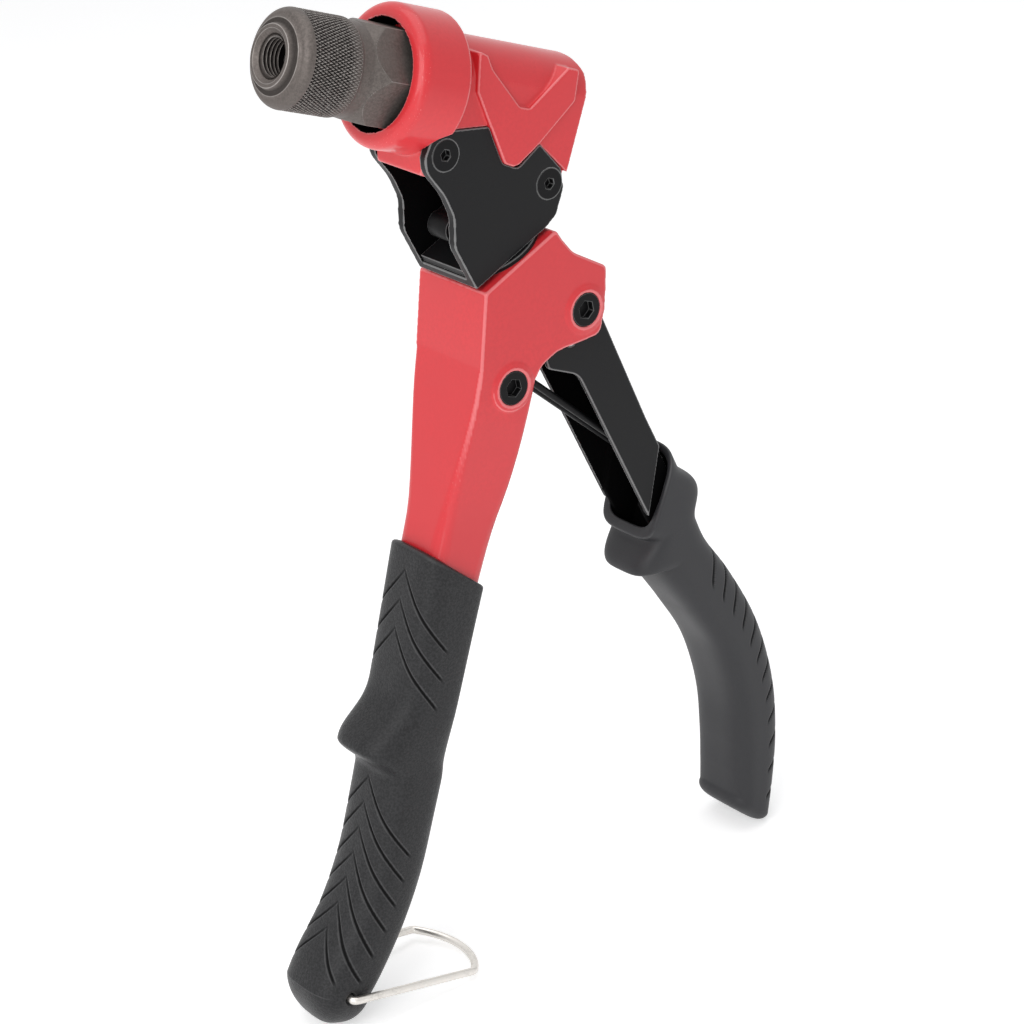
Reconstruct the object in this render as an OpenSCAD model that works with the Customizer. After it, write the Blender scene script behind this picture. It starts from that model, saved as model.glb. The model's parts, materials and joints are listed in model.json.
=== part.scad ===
// Riveting pliers with a swivelling head, a squeeze lever and rubber grips.
// Tool axes: X runs back along the nose axis, Y across the tool, Z up,
// with the origin at the middle of the nose's front face.
// The finished tool stands on the ends of its two grips.

/* [Nose sleeve] */
// Radius of the ring on the front face
nose_face_r = 8.6; // [8:0.1:9.5]
// Depth of the countersink in front of the thread
nose_sink_len = 1.4; // [0.8:0.1:2.4]
// Outer diameter of the inside thread
nose_thread_d = 12; // [10:1:12]
// Pitch of the inside thread
nose_thread_pitch = 1.25; // [1:0.25:1.5]
// Length of the inside thread behind the countersink
nose_thread_len = 5.8; // [4:0.2:6]
// Length of the relief bored behind the thread, where the bar's tip enters
nose_relief_len = 6.2; // [5:0.2:8]
// Length of the front cone
nose_cone_len = 2.4; // [1.6:0.1:3]
// Length of the rounded shoulder
nose_shoulder_len = 3.2; // [2.6:0.1:4]
// Radius of the knurled part
knurl_r = 13.8; // [13:0.1:14.4]
// Length of the knurled part
knurl_len = 15.4; // [10:0.2:18]
// Length of the plain band behind the knurl
plain_len = 4.6; // [3:0.2:6]
// Width across the flats of the spanner hexagon
hex_af = 26.6; // [25:0.2:26.8]
// Length over which the hexagon's corners rise
hex_rise_len = 5; // [3:0.2:6]
// Length of the hexagon with its rise
hex_len = 19.4; // [17.4:0.2:20]
// Radius of the threaded spigot behind the hexagon
spigot_r = 11; // [10:0.25:12]
// Length of the threaded spigot
spigot_len = 12; // [9:0.5:14]

/* [Draw bar] */
// Radius of the guided part of the bar
bar_guide_r = 7.9; // [7:0.1:8.2]
// Radius of the bar behind its guided part
bar_r = 5.2; // [4.5:0.1:5.4]
// Radius of the tip that shows in the nose thread
bar_tip_r = 4.2; // [3.5:0.1:4.6]
// Distance of the tip behind the nose face
bar_tip_setback = 7.8; // [7.8:0.2:10]
// Bore of the threaded socket in the tip
bar_socket_r = 2.1; // [1.6:0.1:2.6]
// Depth of the socket in the tip
bar_socket_len = 14; // [8:1:20]
// Length of the return spring at rest
return_spring_len = 24; // [20:0.5:28]
// Wire radius of the return spring
return_wire_r = 0.55; // [0.4:0.05:0.6]
// Number of turns of the return spring
return_turns = 7; // [5:1:8]
// Thickness of the end walls of the yoke's window
yoke_wall = 2.4; // [2:0.1:2.5]

/* [Head] */
// Radius of the collar round the nose opening
collar_r = 20.4; // [19:0.2:22]
// Length of the collar
collar_len = 18; // [14:0.5:20]
// Radial gap between the hexagon's corners and the collar opening
mouth_gap = 0.45; // [0.3:0.05:0.8]
// Depth of the collar opening
mouth_len = 9; // [8:0.5:12]
// Half width of the flat-sided body
head_half_w = 13; // [12.8:0.1:13.4]
// Height of the body's top above the nose axis
head_top = 15.3; // [15:0.1:16.5]
// Distance from the nose face to the rear face
head_rear = 101.6; // [101.4:0.1:103]
// Thickness of the rear wall
head_rear_wall = 1.8; // [1.4:0.1:1.9]
// Height that the V rib stands out of the flat side
rib_h = 1.5; // [0.8:0.1:2]
// Half width of the tongue between the bracket's plates
tongue_half_w = 10.5; // [9.5:0.1:10.8]
// Radial wall left round the return spring
spring_room = 0.6; // [0.4:0.1:1]

/* [Crank] */
// Distance of the crank pivot behind the nose face
crank_x = 94.5; // [94:0.1:95]
// Distance of the crank pivot below the nose axis
crank_drop = 20.9; // [20.4:0.1:21.4]
// Radius of the crank pin
crank_pin_r = 4; // [3.6:0.1:4.2]
// Radius of the crank's hub
crank_hub_r = 6; // [5.6:0.1:6.2]
// Half width of the crank
crank_half_w = 4.4; // [3.8:0.1:4.6]
// Radius of the nose on the crank's upper arm
crank_finger_r = 2.5; // [2:0.1:2.7]
// Radius of the nose on the crank's lower arm
crank_toe_r = 3; // [2.6:0.1:3.2]

/* [Bracket] */
// Thickness of the bracket's sheet
bracket_wall = 3; // [2.4:0.1:3.2]
// Thickness of the reinforcing plate on the bracket's base
base_plate_wall = 2.3; // [1.8:0.1:2.5]
// Length of the bracket's base
bracket_base_len = 34; // [32:0.5:34]
// Distance of the front screw behind the nose face
front_screw_x = 55.2; // [54.6:0.1:56]
// Distance of the front screw below the nose axis
front_screw_drop = 17.5; // [17:0.1:18]
// Head radius of the countersunk bracket screws
flat_head_r = 4.6; // [4.2:0.1:4.9]
// Shank radius of the bracket screws
flat_shank_r = 2.5; // [2:0.1:2.6]
// Width across flats of the bracket screws' sockets
flat_key_af = 3; // [2.5:0.5:3.5]

/* [Swivel] */
// Distance of the swivel centre behind the nose face
swivel_x = 88.9; // [88.6:0.1:89]
// Distance of the swivel centre below the nose axis
swivel_drop = 41.6; // [41.3:0.1:41.7]
// Radius of the swivel hub
hub_r = 9.5; // [9.3:0.1:9.8]
// Radius of the counterbore in the top of the hub
hub_cup_r = 6.4; // [6:0.1:6.8]
// Thickness of the hub's flange
hub_flange_wall = 3; // [2:0.2:3.4]
// Radius of the friction disc between handle and bracket
disc_r = 14.8; // [14:0.1:15.6]
// Gap that the friction disc fills
disc_gap = 1.6; // [1.4:0.1:2]
// Radius of the push rod
rod_r = 4.5; // [4:0.1:4.6]
// Radius of the push rod's lower end
rod_end_r = 3.4; // [3:0.1:3.6]

/* [Handle] */
// Half width of the handle at the lever pivot
yoke_half_w = 15.8; // [15.2:0.1:16.6]
// Half width of the slot that the lever swings in
slot_half_w = 11.4; // [11.4:0.1:12]
// Thickness of the top plate under the swivel
top_plate = 5.2; // [4:0.2:6]
// Thickness of the front web
front_web = 3.6; // [3:0.1:4.5]
// Half width of the shaft at the grip's rim
shaft_half_w = 10.3; // [9.6:0.1:10.6]
// Radius of the raised bosses round the pivot screws
boss_r = 7.3; // [6.8:0.1:7.6]
// Height of the raised bosses
boss_h = 0.6; // [0.3:0.1:1]
// Distance of the lever pivot behind the nose face
pivot_x = 117.1; // [116.8:0.1:117.4]
// Distance of the lever pivot below the nose axis
pivot_drop = 55.3; // [55:0.1:55.6]
// Distance of the spring pin behind the nose face
spring_pin_x = 96.4; // [95.8:0.1:97]
// Distance of the spring pin below the nose axis
spring_pin_drop = 80.4; // [79.8:0.1:81]
// Head radius of the pivot screws
cap_head_r = 5; // [4.6:0.1:5.2]
// Head height of the pivot screws
cap_head_h = 3.2; // [2.8:0.1:3.4]
// Shank radius of the pivot screws
cap_shank_r = 3; // [2.5:0.1:3]
// Width across flats of the pivot screws' sockets
cap_key_af = 5; // [4:0.5:5]

/* [Lever] */
// Angle that the lever swings when squeezed
lever_stroke = 30; // [20:1:31]
// Half width of the lever's channel
lever_half_w = 11; // [10.4:0.1:11]
// Thickness of the lever's sheet
lever_wall = 1.8; // [1.4:0.1:2.2]
// Distance of the channel's back behind the pivot line
lever_back = 5.1; // [4.6:0.1:5.4]
// Distance of the channel's open edge in front of the pivot line
lever_front = 9; // [8.6:0.1:10]
// Radius of the pivot barrels
barrel_r = 4.5; // [4.2:0.1:4.5]
// Wall of the lever's bush
bush_wall = 1.1; // [0.8:0.1:1.2]
// Radius of the cam's hub
cam_hub_r = 7.1; // [6.6:0.1:7.2]
// Wire radius of the lever spring
spring_wire_r = 1.1; // [0.8:0.1:1.2]
// Number of turns in each coil of the lever spring
spring_turns = 2; // [1:1:2]

/* [Grips] */
// Width of the fixed grip
fixed_grip_w = 25.4; // [24.6:0.2:27]
// Depth of the fixed grip below its finger bump
fixed_grip_d = 22; // [21.4:0.2:23.4]
// Height of the finger bump on the fixed grip
bump_h = 9; // [5:0.5:10]
// Distance of the finger bump's crest below the nose axis
bump_drop = 196.5; // [190:0.5:200]
// Distance of the fixed grip's lowest point below the nose axis
fixed_grip_end = 285; // [284:1:288]
// Width of the lever grip
lever_grip_w = 25; // [24.6:0.2:26]
// Depth of the lever grip
lever_grip_d = 19.8; // [19.4:0.1:20.6]
// Height of the finger guard on the lever grip
guard_h = 8.6; // [3:0.1:9]
// Height of the bulge on the back of the lever grip
bulge_h = 5.2; // [2:0.2:6]
// Length of the lever grip's rounded end
lever_grip_cap = 4; // [3:0.5:6]

/* [Bail] */
// Wire radius of the bail
bail_wire_r = 1.25; // [1:0.05:1.5]
// Length of the bail's arms
bail_arm = 44.5; // [40:0.5:48]
// Half width of the bail at its corners
bail_half_w = 16; // [15.4:0.2:17]
// Height of the arc of the bail's crossbar
bail_bow = 7; // [4:0.5:8]
// Angle of the bail above the nose axis
bail_angle = 9.5; // [8:0.5:20]

/* [Hidden] */

// Running clearance on a radius, and the gap between parts that pass each other
run_fit = 0.05;
side_gap = 0.3;
// Overlap used where a cut has to run past a face
past = 1;

// Colours
red_paint = [0.86, 0.27, 0.30];
black_steel = [0.14, 0.14, 0.15];
grey_steel = [0.42, 0.39, 0.38];
bright_steel = [0.72, 0.72, 0.72];
black_rubber = [0.2, 0.2, 0.21];
bronze = [0.72, 0.55, 0.3];

// Points of the mechanism in the tool's side view, as [x, z]
swivel_tilt = 45;
pivot_at = [pivot_x, -pivot_drop];
spring_pin_at = [spring_pin_x, -spring_pin_drop];
crank_at = [crank_x, -crank_drop];
front_screw_at = [front_screw_x, -front_screw_drop];
swivel_at = [swivel_x, -swivel_drop];

// Side view point at s along the bracket's base and n up the swivel axis
function on_swivel(s, n) = swivel_at
    + s * [cos(swivel_tilt), sin(swivel_tilt)] + n * [-sin(swivel_tilt), cos(swivel_tilt)];
// Swivel coordinates [s, n] of a side view point
function to_swivel(p) = let (d = p - swivel_at)
    [d[0] * cos(swivel_tilt) + d[1] * sin(swivel_tilt), -d[0] * sin(swivel_tilt) + d[1] * cos(swivel_tilt)];
// Turns a side view vector by a about +Y
function turned(v, a) = [v[0] * cos(a) + v[1] * sin(a), -v[0] * sin(a) + v[1] * cos(a)];
function unit(v) = v / norm(v);

// Corner points of an outline, each [x, z, radius], with the corners rounded
function corner_arc(a, b, c, r, steps) =
    r == 0 ? [b] :
    let (u = unit(a - b), v = unit(c - b), half = acos(u * v) / 2,
         centre = b + unit(u + v) * r / sin(half),
         first = b + u * r / tan(half) - centre, last = b + v * r / tan(half) - centre,
         start = atan2(first[1], first[0]), turn = atan2(last[1], last[0]) - start,
         sweep = turn > 180 ? turn - 360 : turn < -180 ? turn + 360 : turn)
    [for (i = [0:steps]) centre + r * [cos(start + sweep * i / steps), sin(start + sweep * i / steps)]];
function rounded(pts, steps = 5) = let (n = len(pts), p = [for (q = pts) [q[0], q[1]]])
    [for (i = [0:n - 1]) each corner_arc(p[(i + n - 1) % n], p[i], p[(i + 1) % n], pts[i][2], steps)];

// Smooth curve through rows [t, value, ...]: the value in column c at t
function slope(k, c, i) = let (n = len(k) - 1, a = max(i - 1, 0), b = min(i + 1, n))
    i > 0 && i < n
        ? ((k[b][c] - k[i][c]) / (k[b][0] - k[i][0]) + (k[i][c] - k[a][c]) / (k[i][0] - k[a][0])) / 2
        : (k[b][c] - k[a][c]) / (k[b][0] - k[a][0]);
function row_at(k, t, i = 0) = i >= len(k) - 2 || t <= k[i + 1][0] ? i : row_at(k, t, i + 1);
function smooth(k, c, t) = let (i = row_at(k, t), h = k[i + 1][0] - k[i][0], u = (t - k[i][0]) / h)
    (2 * u * u * u - 3 * u * u + 1) * k[i][c] + (u * u * u - 2 * u * u + u) * h * slope(k, c, i)
    + (3 * u * u - 2 * u * u * u) * k[i + 1][c] + (u * u * u - u * u) * h * slope(k, c, i + 1);
// A hump of height 1 with its crest at c, reaching down to 0 over a before it and b behind it
function hump(t, c, a, b, sharp = 1) = let (u = t < c ? (c - t) / a : (t - c) / b)
    u >= 1 ? 0 : pow((1 + cos(180 * u)) / 2, sharp);

// Skin over rings of equally many points that run clockwise seen from the last ring
module loft(rings) {
    count = len(rings[0]);
    last = len(rings) - 1;
    polyhedron(
        points = [for (ring = rings) each ring],
        faces = concat(
            [[for (j = [0:count - 1]) count - 1 - j]],
            [[for (j = [0:count - 1]) last * count + j]],
            [for (i = [0:last - 1], j = [0:count - 1])
                let (a = i * count + j, b = i * count + (j + 1) % count)
                each [[a, b, a + count], [b, b + count, a + count]]]));
}
// Round wire along a path, its facets carried along without twist
function heading(path, i) = let (last = len(path) - 1)
    unit(path[min(i + 1, last)] - path[max(min(i, last) - 1, 0)]);
function square_to(u, t) = unit(u - t * (u * t));
module wire(path, r, first, sides = 8) {
    loft([for (i = 0, u = square_to(first, heading(path, 0)); i < len(path);
               i = i + 1, u = square_to(u, heading(path, i)))
        let (v = cross(heading(path, i), u))
        [for (j = [0:sides - 1]) path[i] + r * (u * cos(360 * j / sides) - v * sin(360 * j / sides))]]);
}
// Flat shape drawn in the side view and given a width from y0 to y1
module across(y0, y1) {
    translate([0, y1, 0]) rotate([90, 0, 0]) linear_extrude(y1 - y0) children();
}
module both_sides() {
    children();
    mirror([0, 1, 0]) children();
}
// Round bar across the tool at side view point p
module cross_bar(p, r, y0, y1) {
    translate([p[0], y0, p[1]]) rotate([-90, 0, 0]) cylinder(h = y1 - y0, r = r, $fn = 64);
}
// Puts Z along the nose axis, pointing back, at distance x
module on_nose(x = 0) {
    translate([x, 0, 0]) rotate([0, 90, 0]) children();
}
// Puts Z along the swivel axis, pointing up into the head
module on_swivel_axis(n = 0) {
    translate([swivel_at[0], 0, swivel_at[1]]) rotate([0, -swivel_tilt, 0]) translate([0, 0, n]) children();
}

// Nose sleeve, along the nose axis
thread_core_r = nose_thread_d / 2 - 0.5413 * nose_thread_pitch;
cone_end = nose_cone_len;
knurl_start = cone_end + nose_shoulder_len;
knurl_end = knurl_start + knurl_len;
hex_start = knurl_end + plain_len;
hex_corner_r = hex_af / 2 / cos(30);
hex_end = hex_start + hex_len;
sleeve_end = hex_end + spigot_len;
thread_end = nose_sink_len + nose_thread_len;
relief_r = nose_thread_d / 2 + 0.2;
relief_end = thread_end + nose_relief_len;
plain_r = hex_af / 2;

// Head
collar_start = hex_end - mouth_len;
collar_end = collar_start + collar_len;
mouth_r = hex_corner_r + mouth_gap;
collar_flat = 1.2;
collar_round = collar_r - mouth_r - collar_flat;
bore_r = bar_guide_r + spring_room;
bore_end = head_rear - head_rear_wall;
side_top_r = head_half_w + 0.4;

// Motion: the lever's cam lifts the rod, the rod tips the crank, the crank draws the bar
lever_offset = to_swivel(pivot_at)[0];
pivot_n = to_swivel(pivot_at)[1];
crank_offset = to_swivel(crank_at)[0];
crank_n = to_swivel(crank_at)[1];
rod_travel = lever_offset * lever_stroke * PI / 180;
crank_stroke = lever_stroke * lever_offset / crank_offset;
// The crank's toe swings evenly about its pivot, and its finger ends upright
toe_swing = crank_stroke / 2;
toe_n = crank_n - crank_offset * sin(toe_swing);
toe_s = crank_offset - crank_offset * cos(toe_swing);
finger_at = crank_at + crank_drop * [-sin(crank_stroke), cos(crank_stroke)];
rod_top = toe_n - crank_toe_r - run_fit;
cam_roll = 20;
rod_bottom = pivot_n + lever_offset * cam_roll * PI / 180 + run_fit;
window_rear = finger_at[0] + crank_finger_r + run_fit;
yoke_rear = window_rear + yoke_wall;
yoke_front = window_rear - 2 * crank_finger_r - 8;
bar_shoulder = sleeve_end - 12;
bush_rear = yoke_front - 1.2;
bush_front = bar_shoulder + return_spring_len;

// Swivel stack, up the swivel axis from the bracket's lower face
plate_top = bracket_wall + base_plate_wall;
ring_wall = 1.4;
hub_top = plate_top + side_gap + ring_wall + 0.5;
handle_top = -disc_gap;
hub_seat = handle_top - top_plate;
ring_r = min(hub_r + 1.3, tongue_half_w - 0.2);

module nose_sleeve() {
    stand() color(grey_steel) difference() {
        union() {
            on_nose() rotate_extrude($fn = 96) polygon(concat(
                [[0, 0], [nose_face_r, 0], [nose_face_r + nose_cone_len, cone_end]],
                [for (a = [0:15:90]) [knurl_r, knurl_start]
                    - [(knurl_r - nose_face_r - nose_cone_len) * (1 - sin(a)), nose_shoulder_len * cos(a)]],
                [[knurl_r, knurl_end], [plain_r, knurl_end],
                 [plain_r, hex_start + past], [0, hex_start + past]]));
            intersection() {
                on_nose(hex_start) rotate([0, 0, 30]) cylinder(h = hex_len, r = hex_corner_r, $fn = 6);
                on_nose(hex_start) union() {
                    cylinder(h = hex_rise_len, r1 = plain_r, r2 = hex_corner_r, $fn = 96);
                    translate([0, 0, hex_rise_len])
                        cylinder(h = hex_len - hex_rise_len, r = hex_corner_r + past, $fn = 96);
                }
            }
            on_nose(hex_end - past) cylinder(h = spigot_len + past, r = spigot_r, $fn = 96);
        }
        on_nose(-past) cylinder(h = thread_end + 2 * past, r = thread_core_r, $fn = 96);
        on_nose() cylinder(h = nose_sink_len, r1 = nose_face_r - 0.7, r2 = nose_thread_d / 2, $fn = 96);
        on_nose(thread_end) cylinder(h = nose_relief_len + past, r = relief_r, $fn = 96);
        on_nose(relief_end)
            cylinder(h = sleeve_end - relief_end + past, r = bar_guide_r + run_fit, $fn = 96);
    }
}

module draw_bar() {
    stand() color(bright_steel) difference() {
        union() {
            on_nose(bar_tip_setback) cylinder(h = relief_end + 2 - bar_tip_setback, r = bar_tip_r, $fn = 64);
            on_nose(relief_end + 1) cylinder(h = bar_shoulder - relief_end - 1, r = bar_guide_r, $fn = 96);
            on_nose(bar_shoulder - past)
                cylinder(h = yoke_front + yoke_wall + past - bar_shoulder, r = bar_r, $fn = 64);
        }
        on_nose(bar_tip_setback - past) cylinder(h = bar_socket_len + past, r = bar_socket_r, $fn = 48);
    }
}

// Coil of wire from z0 to z1 about Z with ground, closed ends left out
function coil(r, z0, z1, turns, per_turn = 16) = let (n = turns * per_turn)
    [for (i = [0:n]) [r * cos(360 * i / per_turn), r * sin(360 * i / per_turn), z0 + (z1 - z0) * i / n]];

module return_spring() {
    stand() color(bright_steel) on_nose()
        wire(coil(bar_r + return_wire_r + 0.4, bar_shoulder + return_wire_r + run_fit,
                  bush_front - return_wire_r - run_fit, return_turns), return_wire_r, [1, 0, 0], 6);
}

module spring_bush() {
    stand() color(bronze) on_nose(bush_front) difference() {
        cylinder(h = bush_rear - bush_front, r = bore_r, $fn = 96);
        translate([0, 0, -past])
            cylinder(h = bush_rear - bush_front + 2 * past, r = bar_r + run_fit, $fn = 64);
    }
}

module draw_yoke() {
    stand() color(grey_steel) difference() {
        on_nose(yoke_front) cylinder(h = yoke_rear - yoke_front, r = bore_r - side_gap, $fn = 96);
        on_nose(yoke_front - past) cylinder(h = yoke_wall + 2 * past, r = bar_r, $fn = 64);
        translate([yoke_front + yoke_wall, -crank_half_w - side_gap, -bore_r - past])
            cube([window_rear - yoke_front - yoke_wall, 2 * (crank_half_w + side_gap),
                  bore_r + past + crank_finger_r + side_gap]);
    }
}

// Arms of the crank in the side view: a finger up into the yoke, and an arm that reaches
// forward over the swivel and carries the toe
crank_end_r = crank_hub_r - 2;
crank_end_at = on_swivel(-9.5, crank_n + 3);
toe_at = on_swivel(toe_s, toe_n);

module crank_arms() {
    arm_back = finger_at[0] + crank_finger_r - side_gap;
    arm_low = hub_top + side_gap;
    across(-crank_half_w, crank_half_w) polygon([
        finger_at - [crank_finger_r - side_gap, 0],
        [arm_back, finger_at[1]],
        [arm_back, -bore_r - 0.6],
        crank_at + crank_hub_r * [0.8, 0.5],
        crank_at,
        crank_at - crank_hub_r * [0.94, 0]]);
    across(-crank_half_w, crank_half_w) polygon([
        on_swivel(toe_s - crank_toe_r + side_gap, toe_n),
        on_swivel(toe_s + crank_toe_r - side_gap, toe_n),
        on_swivel(toe_s + crank_toe_r, arm_low),
        on_swivel(crank_offset - crank_hub_r * 0.8, arm_low),
        on_swivel(crank_offset, crank_n),
        on_swivel(crank_offset, crank_n + crank_hub_r - side_gap),
        crank_end_at + (crank_end_r - side_gap) * [-sin(swivel_tilt), cos(swivel_tilt)],
        crank_end_at - (crank_end_r - side_gap) * [-sin(swivel_tilt), cos(swivel_tilt)],
        on_swivel(toe_s - crank_toe_r, arm_low + 1)]);
}

module bell_crank() {
    stand() color(black_steel) difference() {
        union() {
            crank_arms();
            cross_bar(crank_at, crank_hub_r, -crank_half_w, crank_half_w);
            cross_bar(finger_at, crank_finger_r, -crank_half_w, crank_half_w);
            cross_bar(toe_at, crank_toe_r, -crank_half_w, crank_half_w);
            cross_bar(crank_end_at, crank_end_r, -crank_half_w, crank_half_w);
        }
        cross_bar(crank_at, crank_pin_r + run_fit, -crank_half_w - past, crank_half_w + past);
    }
}

module crank_pin() {
    stand() color(bright_steel) difference() {
        cross_bar(crank_at, crank_pin_r, -tongue_half_w, tongue_half_w);
        cross_bar(crank_at, flat_shank_r, -tongue_half_w - past, tongue_half_w + past);
    }
}

module front_spacer() {
    stand() color(bright_steel) difference() {
        cross_bar(front_screw_at, crank_pin_r, -tongue_half_w, tongue_half_w);
        cross_bar(front_screw_at, flat_shank_r, -tongue_half_w - past, tongue_half_w + past);
    }
}

// Countersunk screws of the bracket, one on each side
module flat_screw(p) {
    face = tongue_half_w + bracket_wall + 0.1;
    head_len = flat_head_r - flat_shank_r;
    both_sides() difference() {
        union() {
            translate([p[0], face, p[1]]) rotate([90, 0, 0])
                cylinder(h = head_len, r1 = flat_head_r, r2 = flat_shank_r, $fn = 64);
            cross_bar(p, flat_shank_r, 1, face - head_len + 0.2);
        }
        translate([p[0], face + past, p[1]]) rotate([90, 0, 0])
            cylinder(h = 2 + past, r = flat_key_af / 2 / cos(30), $fn = 6);
    }
}

module front_bracket_screws() {
    stand() color(black_steel) flat_screw(front_screw_at);
}

module rear_bracket_screws() {
    stand() color(black_steel) flat_screw(crank_at);
}

// Front edge of the tongue, and the underside that leaves room for the swivel
tongue_front = collar_end - 4.8;
tongue_under = front_screw_drop + 7;
base_plate_rear = crank_offset - 4.6;
base_plate_front = bracket_base_len / 2 - 0.6;

module tongue_outline() {
    polygon(rounded([
        [tongue_front, -8, 0],
        [tongue_front, -tongue_under + 6, 2],
        [tongue_front + 1.6, -tongue_under, 1],
        [crank_x - 9.5, -tongue_under, 2],
        [each on_swivel(base_plate_rear + side_gap, hub_top), 1],
        [each on_swivel(base_plate_rear + side_gap, bracket_wall), 0.5],
        [each on_swivel(crank_offset - 0.5, bracket_wall), 2],
        [crank_x + 6.6, -crank_drop - 1.5, 2],
        [crank_x + 6.6, -8, 0]]));
}

// The V rib on each side of the body
module rib_outline() {
    polygon(rounded([
        [58.4, 12.2, 0.6], [61.6, 11.4, 0.6], [64.4, 7.9, 0.6], [76.8, -0.9, 1], [80.6, -0.9, 1],
        [91.2, 12.2, 0.6], [95.3, 12.2, 0.6], [96.3, 3.4, 0.6], [86.8, -10.2, 0.3], [81, -17, 2.5],
        [76.6, -18.8, 2.5], [67.8, -7.4, 0.6], [60.9, 1, 0.6]], 3));
}

// Side view of the flat-sided body behind the collar
module body_outline() {
    polygon(rounded([
        [collar_end - 8, -8, 0],
        [front_screw_x - 1.5, -front_screw_drop + 6.4, 0],
        [68.6, -8.1, 0],
        [75.6, -16.5, 2],
        [81, -17, 2],
        [87.9, -10.4, 0],
        [100.4, -17, 0],
        [head_rear - 1, -16.5, 1],
        [head_rear, head_top - 4, 2.6],
        [head_rear - 1.9, head_top, 2.6],
        [collar_end - 8, head_top + 0.6, 0]]));
}

module head_housing() {
    stand() color(red_paint) difference() {
        union() {
            on_nose() rotate_extrude($fn = 96) polygon(concat(
                [[mouth_r, collar_start], [mouth_r + collar_flat, collar_start]],
                [for (a = [0:15:90]) [collar_r, collar_start] + collar_round * [sin(a) - 1, 1 - cos(a)]],
                [[collar_r, collar_end - 1], [collar_r - 1, collar_end], [mouth_r, collar_end]]));
            on_nose(collar_start + 1) cylinder(h = collar_len - 1.2, r = mouth_r + 0.5, $fn = 96);
            intersection() {
                across(-head_half_w, head_half_w) body_outline();
                translate([collar_end - 8, 0, 0]) rotate([90, 0, 90])
                    linear_extrude(head_rear - collar_end + 8)
                    union() {
                        translate([0, head_top - side_top_r]) circle(r = side_top_r, $fn = 96);
                        translate([-head_half_w - past, -30])
                            square([2 * head_half_w + 2 * past, 30 + head_top - side_top_r]);
                    }
            }
            across(-tongue_half_w, tongue_half_w) tongue_outline();
            across(-head_half_w - rib_h, head_half_w + rib_h) rib_outline();
        }
        on_nose(collar_start - past) cylinder(h = mouth_len + past, r = mouth_r, $fn = 96);
        on_nose(hex_end - past) cylinder(h = spigot_len + past + 0.5, r = spigot_r, $fn = 96);
        on_nose(sleeve_end) cylinder(h = bore_end - sleeve_end, r = bore_r, $fn = 96);
        translate([yoke_front - 1, -crank_half_w - side_gap, -60])
            cube([bore_end - yoke_front + 1, 2 * (crank_half_w + side_gap), 60]);
        translate([bore_end - past, -crank_half_w - side_gap, -60])
            cube([20, 2 * (crank_half_w + side_gap), 60 - crank_drop + crank_hub_r]);
        translate([yoke_front - 7, -crank_half_w - side_gap, -60])
            cube([10, 2 * (crank_half_w + side_gap), 60 - tongue_under + 4]);
        both_sides() across(tongue_half_w, collar_r + past) offset(delta = run_fit) bracket_outline();
        cross_bar(crank_at, crank_pin_r, -tongue_half_w - past, tongue_half_w + past);
        cross_bar(front_screw_at, crank_pin_r, -tongue_half_w - past, tongue_half_w + past);
    }
}

// Side view of the bracket's plates
module bracket_outline() {
    half = bracket_base_len / 2;
    polygon(rounded([
        [48.4, -19.5, 5],
        [49.4, -13.6, 4.5],
        [53.6, -10.9, 3],
        [68.2, -7.8, 0.4],
        [76, -17.3, 2.5],
        [81.9, -18, 2.5],
        [87.8, -10.3, 0.4],
        [97.7, -16.2, 2.4],
        [100.2, -21.5, 3.5],
        [99.8, -29.3, 2.5],
        [each on_swivel(12, 0), 1],
        [each on_swivel(-half, 0), 0.6],
        [each on_swivel(-half - 0.2, 15.5), 6],
        [each on_swivel(-half + 4, 23.5), 9],
        [each on_swivel(-half + 4.3, 31), 14],
        [each on_swivel(-half + 2.6, 40.5), 6]]));
}

module bracket() {
    outer = tongue_half_w + bracket_wall;
    stand() color(black_steel) difference() {
        across(-outer, outer) bracket_outline();
        on_swivel_axis(bracket_wall) translate([-80, -tongue_half_w, 0]) cube([160, 2 * tongue_half_w, 120]);
        on_swivel_axis(-past) cylinder(h = bracket_wall + 2 * past, r = hub_r + run_fit, $fn = 96);
        for (p = [front_screw_at, crank_at]) both_sides()
            translate([p[0], outer + 0.1, p[1]]) rotate([90, 0, 0]) union() {
                cylinder(h = flat_head_r - flat_shank_r, r1 = flat_head_r, r2 = flat_shank_r, $fn = 64);
                cylinder(h = bracket_wall + past, r = flat_shank_r, $fn = 64);
            }
    }
}

module base_plate() {
    stand() color(black_steel) on_swivel_axis(bracket_wall) difference() {
        translate([-base_plate_front, -tongue_half_w, 0])
            cube([base_plate_front + base_plate_rear, 2 * tongue_half_w, base_plate_wall]);
        translate([0, 0, -past]) cylinder(h = base_plate_wall + 2 * past, r = hub_r + run_fit, $fn = 96);
    }
}

module swivel_hub() {
    groove = plate_top + side_gap;
    stand() color(grey_steel) on_swivel_axis() difference() {
        union() {
            translate([0, 0, hub_seat - hub_flange_wall])
                cylinder(h = hub_flange_wall, r = slot_half_w - 0.2, $fn = 96);
            translate([0, 0, hub_seat - past]) cylinder(h = groove - hub_seat + past, r = hub_r, $fn = 96);
            translate([0, 0, groove - past]) cylinder(h = hub_top - groove + past, r = hub_r - 0.8, $fn = 96);
            translate([0, 0, groove + ring_wall])
                cylinder(h = hub_top - groove - ring_wall, r = hub_r, $fn = 96);
        }
        translate([0, 0, hub_seat - hub_flange_wall - past])
            cylinder(h = hub_top - hub_seat + hub_flange_wall + 2 * past, r = rod_r + run_fit, $fn = 64);
        translate([0, 0, rod_top - 1.5]) cylinder(h = hub_top - rod_top + 2.5, r = hub_cup_r, $fn = 64);
    }
}

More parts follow.
